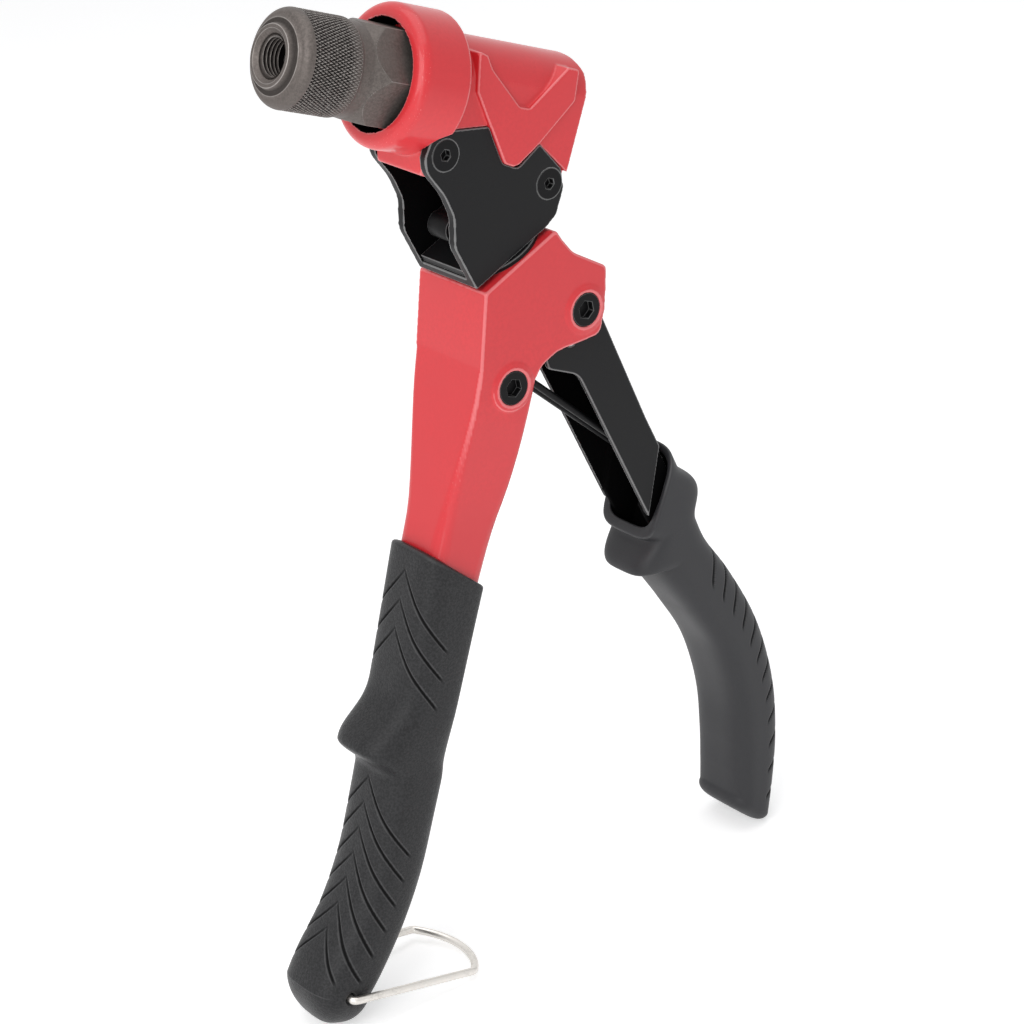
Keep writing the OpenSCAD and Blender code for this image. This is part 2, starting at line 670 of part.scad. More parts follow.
module swivel_ring() {
    stand() color(black_steel) on_swivel_axis(plate_top + side_gap) difference() {
        cylinder(h = ring_wall, r = ring_r, $fn = 96);
        translate([0, 0, -past]) cylinder(h = ring_wall + 2 * past, r = hub_r - 0.8, $fn = 96);
    }
}

module swivel_disc() {
    stand() color(black_steel) on_swivel_axis(handle_top) difference() {
        cylinder(h = disc_gap - run_fit, r = disc_r, $fn = 96);
        translate([0, 0, -past]) cylinder(h = disc_gap + 2 * past, r = hub_r, $fn = 96);
    }
}

module push_rod() {
    stand() color(bright_steel) on_swivel_axis() union() {
        translate([0, 0, rod_bottom]) cylinder(h = 8, r = rod_end_r, $fn = 64);
        translate([0, 0, rod_bottom + 7]) cylinder(h = 1.5, r1 = rod_end_r, r2 = rod_r, $fn = 64);
        translate([0, 0, rod_bottom + 8.5]) cylinder(h = rod_top - rod_bottom - 8.5, r = rod_r, $fn = 64);
    }
}

// Handle: the yoke carries the swivel and both pivots, the shaft runs down into the grip.
// Shaft sections: [drop, front x, back x, half width, corner radius]
shaft_start = 76;
tang_end = 279;
shaft_rows = [
    [shaft_start, 83.2, 104.6, yoke_half_w, 1],
    [87, 84.5, 105.5, yoke_half_w - 0.5, 1.3],
    [100, 85.7, 107.1, yoke_half_w - 2.3, 1.8],
    [112, 86.6, 108.1, shaft_half_w + 1.4, 2.6],
    [124, 87.3, 107.9, shaft_half_w + 0.1, 3.6],
    [138, 87.4, 107.5, shaft_half_w, 4.4],
    [175, 89, 108.4, shaft_half_w - 0.3, 5],
    [215, 91.4, 108.6, shaft_half_w - 0.6, 5],
    [235, 91.8, 108.4, shaft_half_w - 1, 5],
    [255, 88.6, 104.8, shaft_half_w - 1.6, 5],
    [tang_end, 83.4, 98, shaft_half_w - 2.2, 5]];

function rounded_rect(x0, x1, w, r, z) = let (cx = (x0 + x1) / 2, hx = (x1 - x0) / 2)
    [for (q = [0:3], i = [0:4])
        let (a = 90 * q + 22.5 * i, sx = q == 0 || q == 3 ? 1 : -1, sy = q < 2 ? 1 : -1)
        [cx + sx * (hx - r) + r * cos(a), sy * (w - r) + r * sin(a), z]];
function shaft_ring(d) = rounded_rect(smooth(shaft_rows, 1, d), smooth(shaft_rows, 2, d),
    smooth(shaft_rows, 3, d), smooth(shaft_rows, 4, d), -d);
shaft_steps = concat([for (d = [shaft_start:5:134]) d], [for (d = [140:12:tang_end - 6]) d], [tang_end]);

module yoke_outline() {
    polygon(rounded([
        [each on_swivel(-16.2, handle_top), 1],
        [each on_swivel(13, handle_top), 0.8],
        [101.9, -35.7, 3],
        [107.5, -39.2, 8],
        [121.3, -41.8, 2],
        [123.4, -49, 8],
        [125.3, -61.9, 3.5],
        [110.4, -68.4, 6],
        [105, -73.6, 7],
        [104.7, -shaft_start - 0.5, 0],
        [83.3, -shaft_start - 0.5, 0]]));
}

module slot_outline() {
    polygon(rounded([
        [each on_swivel(-16.2 + front_web, hub_seat), 1],
        [each on_swivel(30, hub_seat), 0],
        [140, -45, 0],
        [140, -97, 0],
        [95, -99, 5],
        [83.6 + front_web, -88, 3],
        [83.2 + front_web, -76, 3]]));
}

// Handle solid without its slot and bores
module handle_body() {
    union() {
        across(-yoke_half_w, yoke_half_w) yoke_outline();
        loft([for (d = shaft_steps) shaft_ring(d)]);
        for (p = [pivot_at, spring_pin_at]) {
            cross_bar(p, boss_r, -yoke_half_w - boss_h / 2, yoke_half_w + boss_h / 2);
            cross_bar(p, boss_r - 1.1, -yoke_half_w - boss_h, yoke_half_w + boss_h);
        }
    }
}

bail_at = [90.4, -272.6];
seat_face = yoke_half_w + boss_h - cap_head_h;

module handle_frame() {
    stand() color(red_paint) difference() {
        handle_body();
        across(-slot_half_w, slot_half_w) slot_outline();
        across(-shaft_half_w + 4, shaft_half_w - 4) polygon(rounded([
            [83.6 + front_web + 4, -103, 4], [130, -103, 0],
            [130, -129, 0], [83.6 + front_web + 5, -129, 4]]));
        on_swivel_axis(hub_seat - past) cylinder(h = top_plate + 2 * past, r = hub_r, $fn = 96);
        for (p = [pivot_at, spring_pin_at]) {
            cross_bar(p, barrel_r, -yoke_half_w - 2, yoke_half_w + 2);
            both_sides() cross_bar(p, cap_head_r + 0.2, seat_face, yoke_half_w + boss_h + past);
        }
        cross_bar(bail_at, bail_wire_r + run_fit, -20, 20);
    }
}

module barrel(p) {
    difference() {
        cross_bar(p, barrel_r, -seat_face, seat_face);
        cross_bar(p, cap_shank_r, -seat_face - past, seat_face + past);
    }
}

module cap_screws(p) {
    both_sides() difference() {
        union() {
            cross_bar(p, cap_head_r, seat_face, seat_face + cap_head_h - 0.2);
            cross_bar(p, cap_shank_r, 1, seat_face + past);
        }
        translate([p[0], seat_face + cap_head_h - 2.4, p[1]]) rotate([-90, 0, 0])
            cylinder(h = 4, r = cap_key_af / 2 / cos(30), $fn = 6);
    }
}

module pivot_barrel() {
    stand() color(bright_steel) barrel(pivot_at);
}

module pivot_screws() {
    stand() color(black_steel) cap_screws(pivot_at);
}

module spring_barrel() {
    stand() color(bright_steel) barrel(spring_pin_at);
}

module spring_screws() {
    stand() color(black_steel) cap_screws(spring_pin_at);
}

// Fixed grip sections: [drop, front x, back x], the depth below the bump being a named size
grip_rows = [
    [128, 84, 109.2],
    [150, 85.4, 109.4],
    [170, 86.6, 109.8],
    [190, 87.8, 110.3],
    [215, 89, 89 + fixed_grip_d],
    [233, 89.2, 89.2 + fixed_grip_d],
    [250, 86.9, 87 + fixed_grip_d],
    [266, 81.6, 83 + fixed_grip_d],
    [278, 79.5, 78.2 + fixed_grip_d],
    [fixed_grip_end, 78.4, 76.4 + fixed_grip_d]];
grip_cap = 12;
function grip_taper(d) = d < fixed_grip_end - grip_cap ? 1
    : sqrt(1 - pow(min(1, (d - fixed_grip_end + grip_cap) / grip_cap), 2));
function squircle(a, n) = let (c = cos(a), s = sin(a))
    [sign(c) * pow(abs(c), 2 / n), sign(s) * pow(abs(s), 2 / n)];
function grip_front(d) = smooth(grip_rows, 1, d) - bump_h * hump(d, bump_drop, 24, 9, 2);
function grip_back(d) = smooth(grip_rows, 2, d);
function grip_ring(d, sides = 28) = let (taper = max(0.02, grip_taper(d)),
        lean_in = 4.5 * max(0, d - fixed_grip_end + grip_cap) / grip_cap,
        mid = (grip_front(d) + grip_back(d)) / 2 + lean_in, half = (grip_back(d) - grip_front(d)) / 2 * taper,
        w = (fixed_grip_w / 2 + 0.3 * sin(90 * (d - 128) / 160)) * taper,
        n = d < 230 ? 4 - 1.2 * (d - 128) / 102 : 2.8)
    [for (j = [0:sides - 1]) let (q = squircle(360 * j / sides, n)) [mid + half * q[0], w * q[1], -d]];
grip_steps = concat([for (d = [128:8:168]) d], [for (d = [172:3:206]) d],
    [for (d = [212:7:fixed_grip_end - grip_cap]) d],
    [for (a = [10:16:74]) fixed_grip_end - grip_cap + grip_cap * sin(a)],
    [fixed_grip_end - 0.3, fixed_grip_end]);

module fixed_grip() {
    stand() color(black_rubber) difference() {
        loft([for (d = grip_steps) grip_ring(d)]);
        loft([for (d = shaft_steps) shaft_ring(d)]);
        translate([95, 0, -137.5]) rotate([0, 19, 0]) translate([-60, -40, 0]) cube([120, 80, 60]);
        cross_bar(bail_at, bail_wire_r + 0.6, -20, 20);
    }
}

// Lever: built at rest, where its axis is parallel to the swivel axis.
// Side view point at a down the lever and b behind its pivot line
function on_lever(a, b) = on_swivel(lever_offset + b, pivot_n - a);

// Extra depth of the channel near its pivot
lever_swell = 1.5;

module flange_outline() {
    polygon(rounded([
        [each on_lever(-7, -3), 3],
        [each on_lever(-7, 4.8), 6.5],
        [each on_lever(3, 7), 6],
        [each on_lever(11, lever_back + lever_swell), 4],
        [each on_lever(50, lever_back), 40],
        [each on_lever(110, lever_back), 0],
        [each on_lever(150, lever_back), 1],
        [each on_lever(150, -2), 1],
        [each on_lever(112, -lever_front + 2), 10],
        [each on_lever(96, -lever_front), 10],
        [each on_lever(20, -lever_front), 7],
        [each on_lever(11, -17), 2],
        [each on_lever(2, -15.5), 6]]));
}

module channel_back() {
    polygon([on_lever(12, lever_back + lever_swell - lever_wall), on_lever(12, lever_back + 2 * lever_swell),
             on_lever(50, lever_back + lever_swell), on_lever(151, lever_back + past),
             on_lever(151, lever_back - lever_wall), on_lever(50, lever_back - lever_wall)]);
}

// Below a slant above the grip's mouth the channel is pressed narrower and goes on as a tang,
// which laps inside the wide channel's sides
tang_lap = 4;
tang_bore = lever_half_w - 2 * lever_wall;
module tang_side(down = 0) {
    polygon([on_lever(50 + down, 14.5), on_lever(160, 14.5), on_lever(160, -20), on_lever(94 + down, -20)]);
}

cam_half_w = lever_half_w - lever_wall;
bush_r = barrel_r + run_fit + bush_wall;
rivet_r = 2;
rivets_at = [on_lever(8.4, -6.2), on_lever(4.5, -11.2)];

module lever_arm() {
    stand() color(black_steel) difference() {
        across(-lever_half_w, lever_half_w) flange_outline();
        difference() {
            union() {
                across(-cam_half_w, cam_half_w) difference() {
                    polygon([on_lever(-30, -40), on_lever(-30, 40), on_lever(160, 40), on_lever(160, -40)]);
                    tang_side(-tang_lap);
                }
                across(-tang_bore, tang_bore)
                    polygon([on_lever(-30, -40), on_lever(-30, 40), on_lever(160, 40), on_lever(160, -40)]);
            }
            across(-lever_half_w - past, lever_half_w + past) channel_back();
        }
        both_sides() across(cam_half_w, lever_half_w + past) tang_side();
        cross_bar(pivot_at, bush_r, -lever_half_w - past, lever_half_w + past);
        for (p = rivets_at) cross_bar(p, rivet_r, -lever_half_w - past, lever_half_w + past);
    }
}

// Face of the cam, an involute of the circle that the rod's axis touches, so that the
// rod rises by the same amount for each degree of the lever
function cam_point(roll) = let (back = cam_roll - roll,
        p = turned([-lever_offset, lever_offset * roll * PI / 180], back))
    on_swivel(lever_offset + p[0], pivot_n + p[1]);

module lever_cam() {
    tip = cam_roll + lever_stroke + 4;
    stand() color(grey_steel) difference() {
        across(-cam_half_w, cam_half_w) union() {
            translate(pivot_at) circle(r = cam_hub_r, $fn = 64);
            polygon(concat(
                [for (a = [12:4:tip]) cam_point(a)],
                [on_lever(2.5, -15.6), on_lever(7, -14.4), on_lever(11, -9.5), on_lever(10.5, -4),
                 on_lever(cam_hub_r, 0), on_lever(0, 0), on_lever(-cam_hub_r * 0.5, -cam_hub_r * 0.86)]));
        }
        cross_bar(pivot_at, bush_r, -lever_half_w, lever_half_w);
        for (p = rivets_at) cross_bar(p, rivet_r, -lever_half_w, lever_half_w);
    }
}

module cam_rivets() {
    stand() color(bright_steel) for (p = rivets_at)
        cross_bar(p, rivet_r, -lever_half_w, lever_half_w);
}

module lever_bush() {
    stand() color(bronze) difference() {
        cross_bar(pivot_at, bush_r, -lever_half_w, lever_half_w);
        cross_bar(pivot_at, barrel_r + run_fit, -lever_half_w - past, lever_half_w + past);
    }
}

// Lever grip sections: [distance down the lever, middle, half depth, half width]
lever_grip_rows = [
    [58, -0.6, lever_grip_d / 2 + 0.2, lever_grip_w / 2 + 0.4],
    [76, -0.9, lever_grip_d / 2 + 0.2, lever_grip_w / 2 + 0.4],
    [91, -2.1, lever_grip_d / 2 - 0.4, lever_grip_w / 2 + 0.2],
    [105, -2.8, lever_grip_d / 2, lever_grip_w / 2],
    [122, -0.2, lever_grip_d / 2 + 0.2, lever_grip_w / 2],
    [141, 1.6, lever_grip_d / 2 - 0.2, lever_grip_w / 2],
    [156, 0.4, lever_grip_d / 2 - 0.3, lever_grip_w / 2],
    [171, -3.1, lever_grip_d / 2 - 0.4, lever_grip_w / 2],
    [186, -9.4, lever_grip_d / 2 - 0.5, lever_grip_w / 2 - 0.1],
    [198, -16, lever_grip_d / 2 - 0.5, lever_grip_w / 2 - 0.2],
    [210, -23.4, lever_grip_d / 2 - 0.5, lever_grip_w / 2 - 0.2]];
lever_grip_last = 207;
function spine(a) = [a, smooth(lever_grip_rows, 1, a)];
end_tilt = 34;
function spine_dir(a) = let (d = spine(a + 0.5) - spine(a - 0.5),
    turn = atan2(d[1], d[0]) - end_tilt * max(0, a - 180) / (lever_grip_last - 180)) [cos(turn), sin(turn)];
function lever_ring(a, ahead, taper, sides = 28) = let (
        dir = spine_dir(a), c = spine(a) + dir * ahead, across_dir = [-dir[1], dir[0]],
        half = smooth(lever_grip_rows, 2, a) * taper, w = smooth(lever_grip_rows, 3, a) * taper,
        front = guard_h * hump(a, 98.3, 8, 4, 0.6) + 4.8 * hump(a, 84.5, 8, 7.5),
        back = bulge_h * hump(a, 84.5, 11.5, 9.5))
    [for (j = [0:sides - 1])
        let (q = squircle(360 * j / sides, 3.6), reach = q[0] > 0 ? half + back : half + front,
             p = c + across_dir * reach * q[0], s = on_lever(p[0], p[1]))
        [s[0], w * q[1], s[1]]];
lever_grip_rings = concat(
    [for (a = [60:6:78]) lever_ring(a, 0, 1)], [for (a = [80:2.5:107.5]) lever_ring(a, 0, 1)],
    [for (a = [113:7.5:lever_grip_last]) lever_ring(a, 0, 1)],
    [for (b = [0:15:75]) lever_ring(lever_grip_last, lever_grip_cap * sin(b), pow(cos(b), 0.4))],
    [lever_ring(lever_grip_last, lever_grip_cap, 0.5)]);

// The mouth of the grip is a plane that slants from its back down to its front
module lever_grip() {
    mouth_back = on_lever(57.5, 19);
    mouth_front = on_lever(88, -15);
    reach = 1.5 * (mouth_front - mouth_back);
    stand() color(black_rubber) difference() {
        loft(lever_grip_rings);
        across(-cam_half_w, cam_half_w) flange_outline();
        across(-lever_half_w - 0.3, lever_half_w + 0.3) polygon(rounded([
            [each on_lever(40, -lever_front - 3.4), 0], [each on_lever(40, lever_back + 2.8), 0],
            [each on_lever(92, lever_back + 2.8), 3], [each on_lever(97, -lever_front - 3.4), 3]]));
        across(-40, 40) polygon([mouth_back - reach, mouth_front + reach,
            mouth_front + reach - [80, 0], mouth_back - reach - [80, 0]]);
    }
}

// Lever spring: a coil on each side of the pin and one long bent leg that presses on the lever
coil_r = barrel_r + spring_wire_r + 0.6;
leg_y = 4.6;
leg_bend = 3;
leg_tip = on_lever(66, lever_back - lever_wall - spring_wire_r - side_gap);
leg_dir = let (d = leg_tip - spring_pin_at) atan2(d[1], d[0]) + asin(coil_r / norm(d));
coil_pitch = 2 * spring_wire_r + 0.2;
leg_along = [cos(leg_dir), 0, sin(leg_dir)];
spring_half = concat(
    [for (i = [20 * spring_turns + 3:-1:0])
        let (a = leg_dir + 90 + 18 * i)
        [spring_pin_at[0] + coil_r * cos(a), leg_y + coil_pitch * i / 20,
         spring_pin_at[1] + coil_r * sin(a)]],
    [for (a = [0:30:90]) [leg_tip[0], leg_y - leg_bend, leg_tip[1]] - leg_along * leg_bend
        + leg_bend * (leg_along * sin(a) + [0, cos(a), 0])]);

module torsion_spring() {
    last = len(spring_half) - 1;
    stand() color(black_steel) wire(concat(spring_half,
        [for (i = [last:-1:0]) [spring_half[i][0], -spring_half[i][1], spring_half[i][2]]]),
        spring_wire_r, [0, 1, 0.1]);
}

// Round rod between two points
module rod_between(p, q, r) {
    d = q - p;
    translate(p) rotate([0, acos(d[2] / norm(d)), atan2(d[1], d[0])]) cylinder(h = norm(d), r = r, $fn = 48);
}

// Wire bail, hooked into the end of the handle
bail_in = fixed_grip_w / 2 + bail_wire_r + 0.5;
bail_seat = 5;

module wire_bail() {
    r = (bail_half_w * bail_half_w + bail_bow * bail_bow) / (2 * bail_bow);
    span = asin(bail_half_w / r);
    stand() color(bright_steel) translate([bail_at[0], 0, bail_at[1]]) rotate([0, -bail_angle, 0]) union() {
        both_sides() union() {
            translate([0, bail_seat, 0]) rotate([-90, 0, 0])
                cylinder(h = bail_in - bail_seat, r = bail_wire_r, $fn = 48);
            translate([0, bail_in, 0]) sphere(r = bail_wire_r + 0.02, $fn = 32);
            rod_between([0, bail_in, 0], [bail_arm, bail_half_w, 0], bail_wire_r);
            translate([bail_arm, bail_half_w, 0]) sphere(r = bail_wire_r + 0.02, $fn = 32);
        }
        translate([bail_arm + bail_bow - r, 0, 0]) rotate([0, 0, -span])
            rotate_extrude(angle = 2 * span, $fn = 96) translate([r, 0]) circle(r = bail_wire_r, $fn = 48);
    }
}

// Standing pose: the line that both grips touch from above becomes level
function side_points(rings) = [for (ring = rings, p = ring) [p[0], p[2]]];
fixed_side = side_points([for (d = grip_steps) grip_ring(d)]);
lever_side = side_points(lever_grip_rings);
function lowest(pts, lean) = min([for (p = pts) turned(p, lean)[1]]);
function find_lean(lo, hi, n) = n == 0 ? (lo + hi) / 2 :
    let (mid = (lo + hi) / 2)
    lowest(fixed_side, mid) < lowest(lever_side, mid) ? find_lean(mid, hi, n - 1) : find_lean(lo, mid, n - 1);
lean = find_lean(5, 40, 24);
floor_z = lowest(fixed_side, lean);
left_x = min([for (p = fixed_side) turned(p, lean)[0]]);
right_x = max([for (p = lever_side) turned(p, lean)[0]]);

module stand() {
    translate([-(left_x + right_x) / 2, 0, -floor_z]) rotate([0, lean, 0]) children();
}

nose_sleeve();
head_housing();
draw_bar();
return_spring();
spring_bush();
draw_yoke();
bell_crank();
crank_pin();
front_spacer();
bracket();
base_plate();
front_bracket_screws();
rear_bracket_screws();
push_rod();
swivel_hub();
swivel_disc();
swivel_ring();
handle_frame();
fixed_grip();
pivot_barrel();
pivot_screws();
spring_barrel();
spring_screws();
torsion_spring();
lever_arm();
lever_cam();
cam_rivets();
lever_bush();
lever_grip();
wire_bail();
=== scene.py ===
import functools
import json
import math

import bmesh
import bpy
import numpy as np
from mathutils import Matrix, Vector


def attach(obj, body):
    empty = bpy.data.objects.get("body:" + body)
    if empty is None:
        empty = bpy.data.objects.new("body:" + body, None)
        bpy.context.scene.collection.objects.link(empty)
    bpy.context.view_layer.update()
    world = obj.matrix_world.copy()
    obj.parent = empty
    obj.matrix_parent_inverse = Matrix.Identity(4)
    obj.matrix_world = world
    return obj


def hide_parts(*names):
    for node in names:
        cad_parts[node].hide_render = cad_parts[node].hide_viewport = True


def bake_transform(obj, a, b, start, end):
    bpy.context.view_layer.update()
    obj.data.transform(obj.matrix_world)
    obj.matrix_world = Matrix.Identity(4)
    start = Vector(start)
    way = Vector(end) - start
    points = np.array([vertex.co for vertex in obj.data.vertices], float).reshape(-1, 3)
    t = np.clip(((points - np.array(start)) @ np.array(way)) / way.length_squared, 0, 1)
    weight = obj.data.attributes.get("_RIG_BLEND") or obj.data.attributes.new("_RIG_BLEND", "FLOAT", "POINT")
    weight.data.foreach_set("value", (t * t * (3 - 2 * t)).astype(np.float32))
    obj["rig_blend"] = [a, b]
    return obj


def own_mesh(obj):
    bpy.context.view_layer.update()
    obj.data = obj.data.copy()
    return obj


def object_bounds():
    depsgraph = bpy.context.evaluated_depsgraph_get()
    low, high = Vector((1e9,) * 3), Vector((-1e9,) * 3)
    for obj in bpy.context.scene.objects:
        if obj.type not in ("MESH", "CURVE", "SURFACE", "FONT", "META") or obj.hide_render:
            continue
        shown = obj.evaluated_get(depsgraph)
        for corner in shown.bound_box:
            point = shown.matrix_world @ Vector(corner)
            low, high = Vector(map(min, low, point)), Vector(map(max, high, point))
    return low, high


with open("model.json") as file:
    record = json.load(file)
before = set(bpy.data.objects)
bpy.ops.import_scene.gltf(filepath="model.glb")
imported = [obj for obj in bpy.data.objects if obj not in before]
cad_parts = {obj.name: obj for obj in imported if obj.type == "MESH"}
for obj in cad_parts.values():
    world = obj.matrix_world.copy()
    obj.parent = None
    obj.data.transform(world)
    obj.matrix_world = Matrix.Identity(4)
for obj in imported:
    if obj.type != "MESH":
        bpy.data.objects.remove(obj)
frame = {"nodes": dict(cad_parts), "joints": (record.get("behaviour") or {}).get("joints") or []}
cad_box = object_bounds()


# Floor and light: pale paper under two large soft lamps, a front fill and a narrow strip that
# draws the highlights, as in a catalogue studio. The world looks plain white to the camera and
# in reflections, and lights the tool only faintly.
def put(name, data):
    """A new object at the scene's origin."""
    thing = bpy.data.objects.new(name, data)
    bpy.context.scene.collection.objects.link(thing)
    return thing


def feed(tree, node, feeds):
    """Sets a node's inputs, by name or number, to a value or to the socket that feeds them."""
    for socket, value in feeds.items():
        if isinstance(value, bpy.types.NodeSocket):
            tree.links.new(value, node.inputs[socket])
        else:
            node.inputs[socket].default_value = value
    return node


def add(tree, kind, feeds={}, **settings):
    """A new node with its settings and inputs."""
    node = tree.nodes.new(kind)
    for label, value in settings.items():
        setattr(node, label, value)
    return feed(tree, node, feeds)


def calc(tree, operation, *values, **settings):
    """The result of a sum on numbers or sockets."""
    return add(tree, "ShaderNodeMath", dict(enumerate(values)), operation=operation,
               **settings).outputs[0]


FLOOR_REACH = 3.0
floor_mesh = bpy.data.meshes.new("floor")
floor_mesh.from_pydata([(x * FLOOR_REACH, y * FLOOR_REACH, 0)
                        for x, y in ((-1, -1), (1, -1), (1, 1), (-1, 1))], [], [(0, 1, 2, 3)])
floor = put("floor", floor_mesh)
paper = bpy.data.materials.new("floor_paper")
paper.use_nodes = True
feed(paper.node_tree, paper.node_tree.nodes["Principled BSDF"], {
    "Base Color": (0.93, 0.93, 0.93, 1), "Roughness": 0.9, "Specular IOR Level": 0.1,
    "Emission Color": (1, 1, 1, 1), "Emission Strength": 0.5})
floor_mesh.materials.append(paper)

world = bpy.data.worlds.new("studio")
bpy.context.scene.world = world
world.use_nodes = True
sky = world.node_tree
sky.nodes.clear()
ray = add(sky, "ShaderNodeLightPath").outputs
mirrored = calc(sky, "ADD", ray["Is Glossy Ray"], ray["Is Transmission Ray"])
seen = calc(sky, "ADD", ray["Is Camera Ray"], mirrored, use_clamp=True)
lit = add(sky, "ShaderNodeBackground", {"Color": (0.97, 0.98, 1, 1), "Strength": 0.3})
white = add(sky, "ShaderNodeBackground", {"Color": (1, 1, 1, 1)})
both = add(sky, "ShaderNodeMixShader", {0: seen, 1: lit.outputs[0], 2: white.outputs[0]})
add(sky, "ShaderNodeOutputWorld", {"Surface": both.outputs[0]})

middle = (cad_box[0] + cad_box[1]) / 2
for name, place, size, watts in (
        ("key_lamp", (-1.15, -0.35, 0.95), (0.9, 0.9), 7.0),
        ("top_lamp", (0.05, 0.1, 1.6), (1.5, 1.5), 9.0),
        ("front_lamp", (-0.9, -0.95, 0.45), (0.5, 0.9), 2.0),
        ("strip_lamp", (-0.75, -0.7, 1.1), (0.05, 1.1), 1.6)):
    lamp = bpy.data.lights.new(name, "AREA")
    lamp.shape = "RECTANGLE"
    lamp.size, lamp.size_y = size
    lamp.energy = watts
    holder = put(name, lamp)
    holder.location = place
    holder.rotation_mode = "QUATERNION"
    holder.rotation_quaternion = (middle - Vector(place)).to_track_quat("-Z", "Y")


# Camera: the photograph's own view, from the front left and a little above the nose. Places are
# written in tool millimetres: X back along the nose axis from the nose's front face, Y across
# the tool, Z up from the nose axis. The tool stands tilted on its grips, so tool() and turned()
# turn them into the frame.
joints = {joint["name"]: joint for joint in frame["joints"]}
BACK = np.array(joints["bar_draw"]["axis"], float)
ACROSS = np.array([0.0, 1.0, 0.0])
UP = np.array([-BACK[2], 0.0, BACK[0]])
LEVER_PIN = 117.1, -55.3
ORIGIN = (np.array(joints["lever_pivot"]["pos_m"], float)
          - (LEVER_PIN[0] * BACK + LEVER_PIN[1] * UP) / 1000)


def tool(points):
    """Points in tool millimetres, brought into the frame in metres."""
    p = np.asarray(points, float)
    return ORIGIN + (p[..., :1] * BACK + p[..., 1:2] * ACROSS + p[..., 2:] * UP) / 1000


def turned(direction):
    """A direction in tool axes, brought into the frame."""
    return Vector((np.asarray(direction) @ np.array([BACK, ACROSS, UP])).tolist())


CAMERA_AT = -444.78, -625.14, 50.32
CAMERA_RIGHT, CAMERA_DOWN = (0.7525, -0.6205, 0.2207), (0.0362, -0.2957, -0.9546)
CAMERA_AHEAD = 0.6575, 0.7264, -0.2
camera = bpy.data.cameras.new("camera")
camera.sensor_width = 36.0
camera.lens = 100.6
camera.clip_start = 0.05
viewer = put("camera", camera)
facing = Matrix((turned(CAMERA_RIGHT).normalized(), -turned(CAMERA_DOWN).normalized(),
                 -turned(CAMERA_AHEAD).normalized())).transposed()
viewer.matrix_world = Matrix.Translation(Vector(tool(CAMERA_AT).tolist())) @ facing.to_4x4()
bpy.context.scene.camera = viewer
bpy.context.scene.view_settings.view_transform = "Standard"


# Surface effects that every finish shares. "edge_wear_and_highlight" masks the lighter edges, part rubbing
# and part painted highlight, from the "edge" strength that each mesh carries, broken up by noise.
# "fine_grain" gives the normal and height of a moulded, cast or painted skin, and "handling"
# masks faint smears.
def effect(name, knobs, results):
    """A shader group with number inputs and outputs of the kinds given, and its two ends."""
    tree = bpy.data.node_groups.new(name, "ShaderNodeTree")
    for label in knobs:
        tree.interface.new_socket(label, in_out="INPUT", socket_type="NodeSocketFloat")
    for label, kind in results.items():
        tree.interface.new_socket(label, in_out="OUTPUT", socket_type=kind)
    return tree, tree.nodes.new("NodeGroupInput").outputs, tree.nodes.new("NodeGroupOutput")


def noise(tree, **feeds):
    """Cloudy noise on Object coordinates."""
    where = add(tree, "ShaderNodeTexCoord").outputs["Object"]
    return add(tree, "ShaderNodeTexNoise", {"Vector": where, **feeds}).outputs[0]


def remap(tree, value, low, high, first=0.0, last=1.0):
    """Runs from first to last while the value runs from low to high."""
    return add(tree, "ShaderNodeMapRange", {"Value": value, "From Min": low, "From Max": high,
                                            "To Min": first, "To Max": last}).outputs[0]


def mix(tree, share, first, second):
    """Blends numbers, or colours where the second is one, by a share from 0 to 1."""
    kind, at, result = ("RGBA", 6, 2) if isinstance(second, tuple) else ("FLOAT", 2, 0)
    return add(tree, "ShaderNodeMix", {0: share, at: first, at + 1: second},
               data_type=kind).outputs[result]


edge_wear_and_highlight, knob, end = effect("edge_wear_and_highlight", ("Amount", "Break Up"), {"Mask": "NodeSocketFloat"})
sharp = add(edge_wear_and_highlight, "ShaderNodeAttribute", attribute_name="edge").outputs["Fac"]
patchy = mix(edge_wear_and_highlight, knob["Break Up"], 1.0, noise(edge_wear_and_highlight, Scale=420.0, Detail=4.0))
rubbed_and_highlit = remap(edge_wear_and_highlight, calc(edge_wear_and_highlight, "MULTIPLY", sharp, patchy), 0.22, 0.6)
feed(edge_wear_and_highlight, end, {"Mask": calc(edge_wear_and_highlight, "MULTIPLY", rubbed_and_highlit, knob["Amount"])})

fine_grain, knob, end = effect("fine_grain", ("Scale", "Depth", "Roughening"),
                               {"Normal": "NodeSocketVector", "Height": "NodeSocketFloat"})
GRAIN_HEIGHT = 0.0002
height = noise(fine_grain, Scale=knob["Scale"], Detail=6.0, Roughness=knob["Roughening"])
bump = add(fine_grain, "ShaderNodeBump", {"Strength": knob["Depth"], "Distance": GRAIN_HEIGHT,
                                          "Height": height})
feed(fine_grain, end, {"Normal": bump.outputs["Normal"], "Height": height})

handling, knob, end = effect("handling", ("Scale",), {"Mask": "NodeSocketFloat"})
smears = noise(handling, Scale=knob["Scale"], Detail=8.0, Roughness=0.65)
feed(handling, end, {"Mask": remap(handling, smears, 0.42, 0.7)})


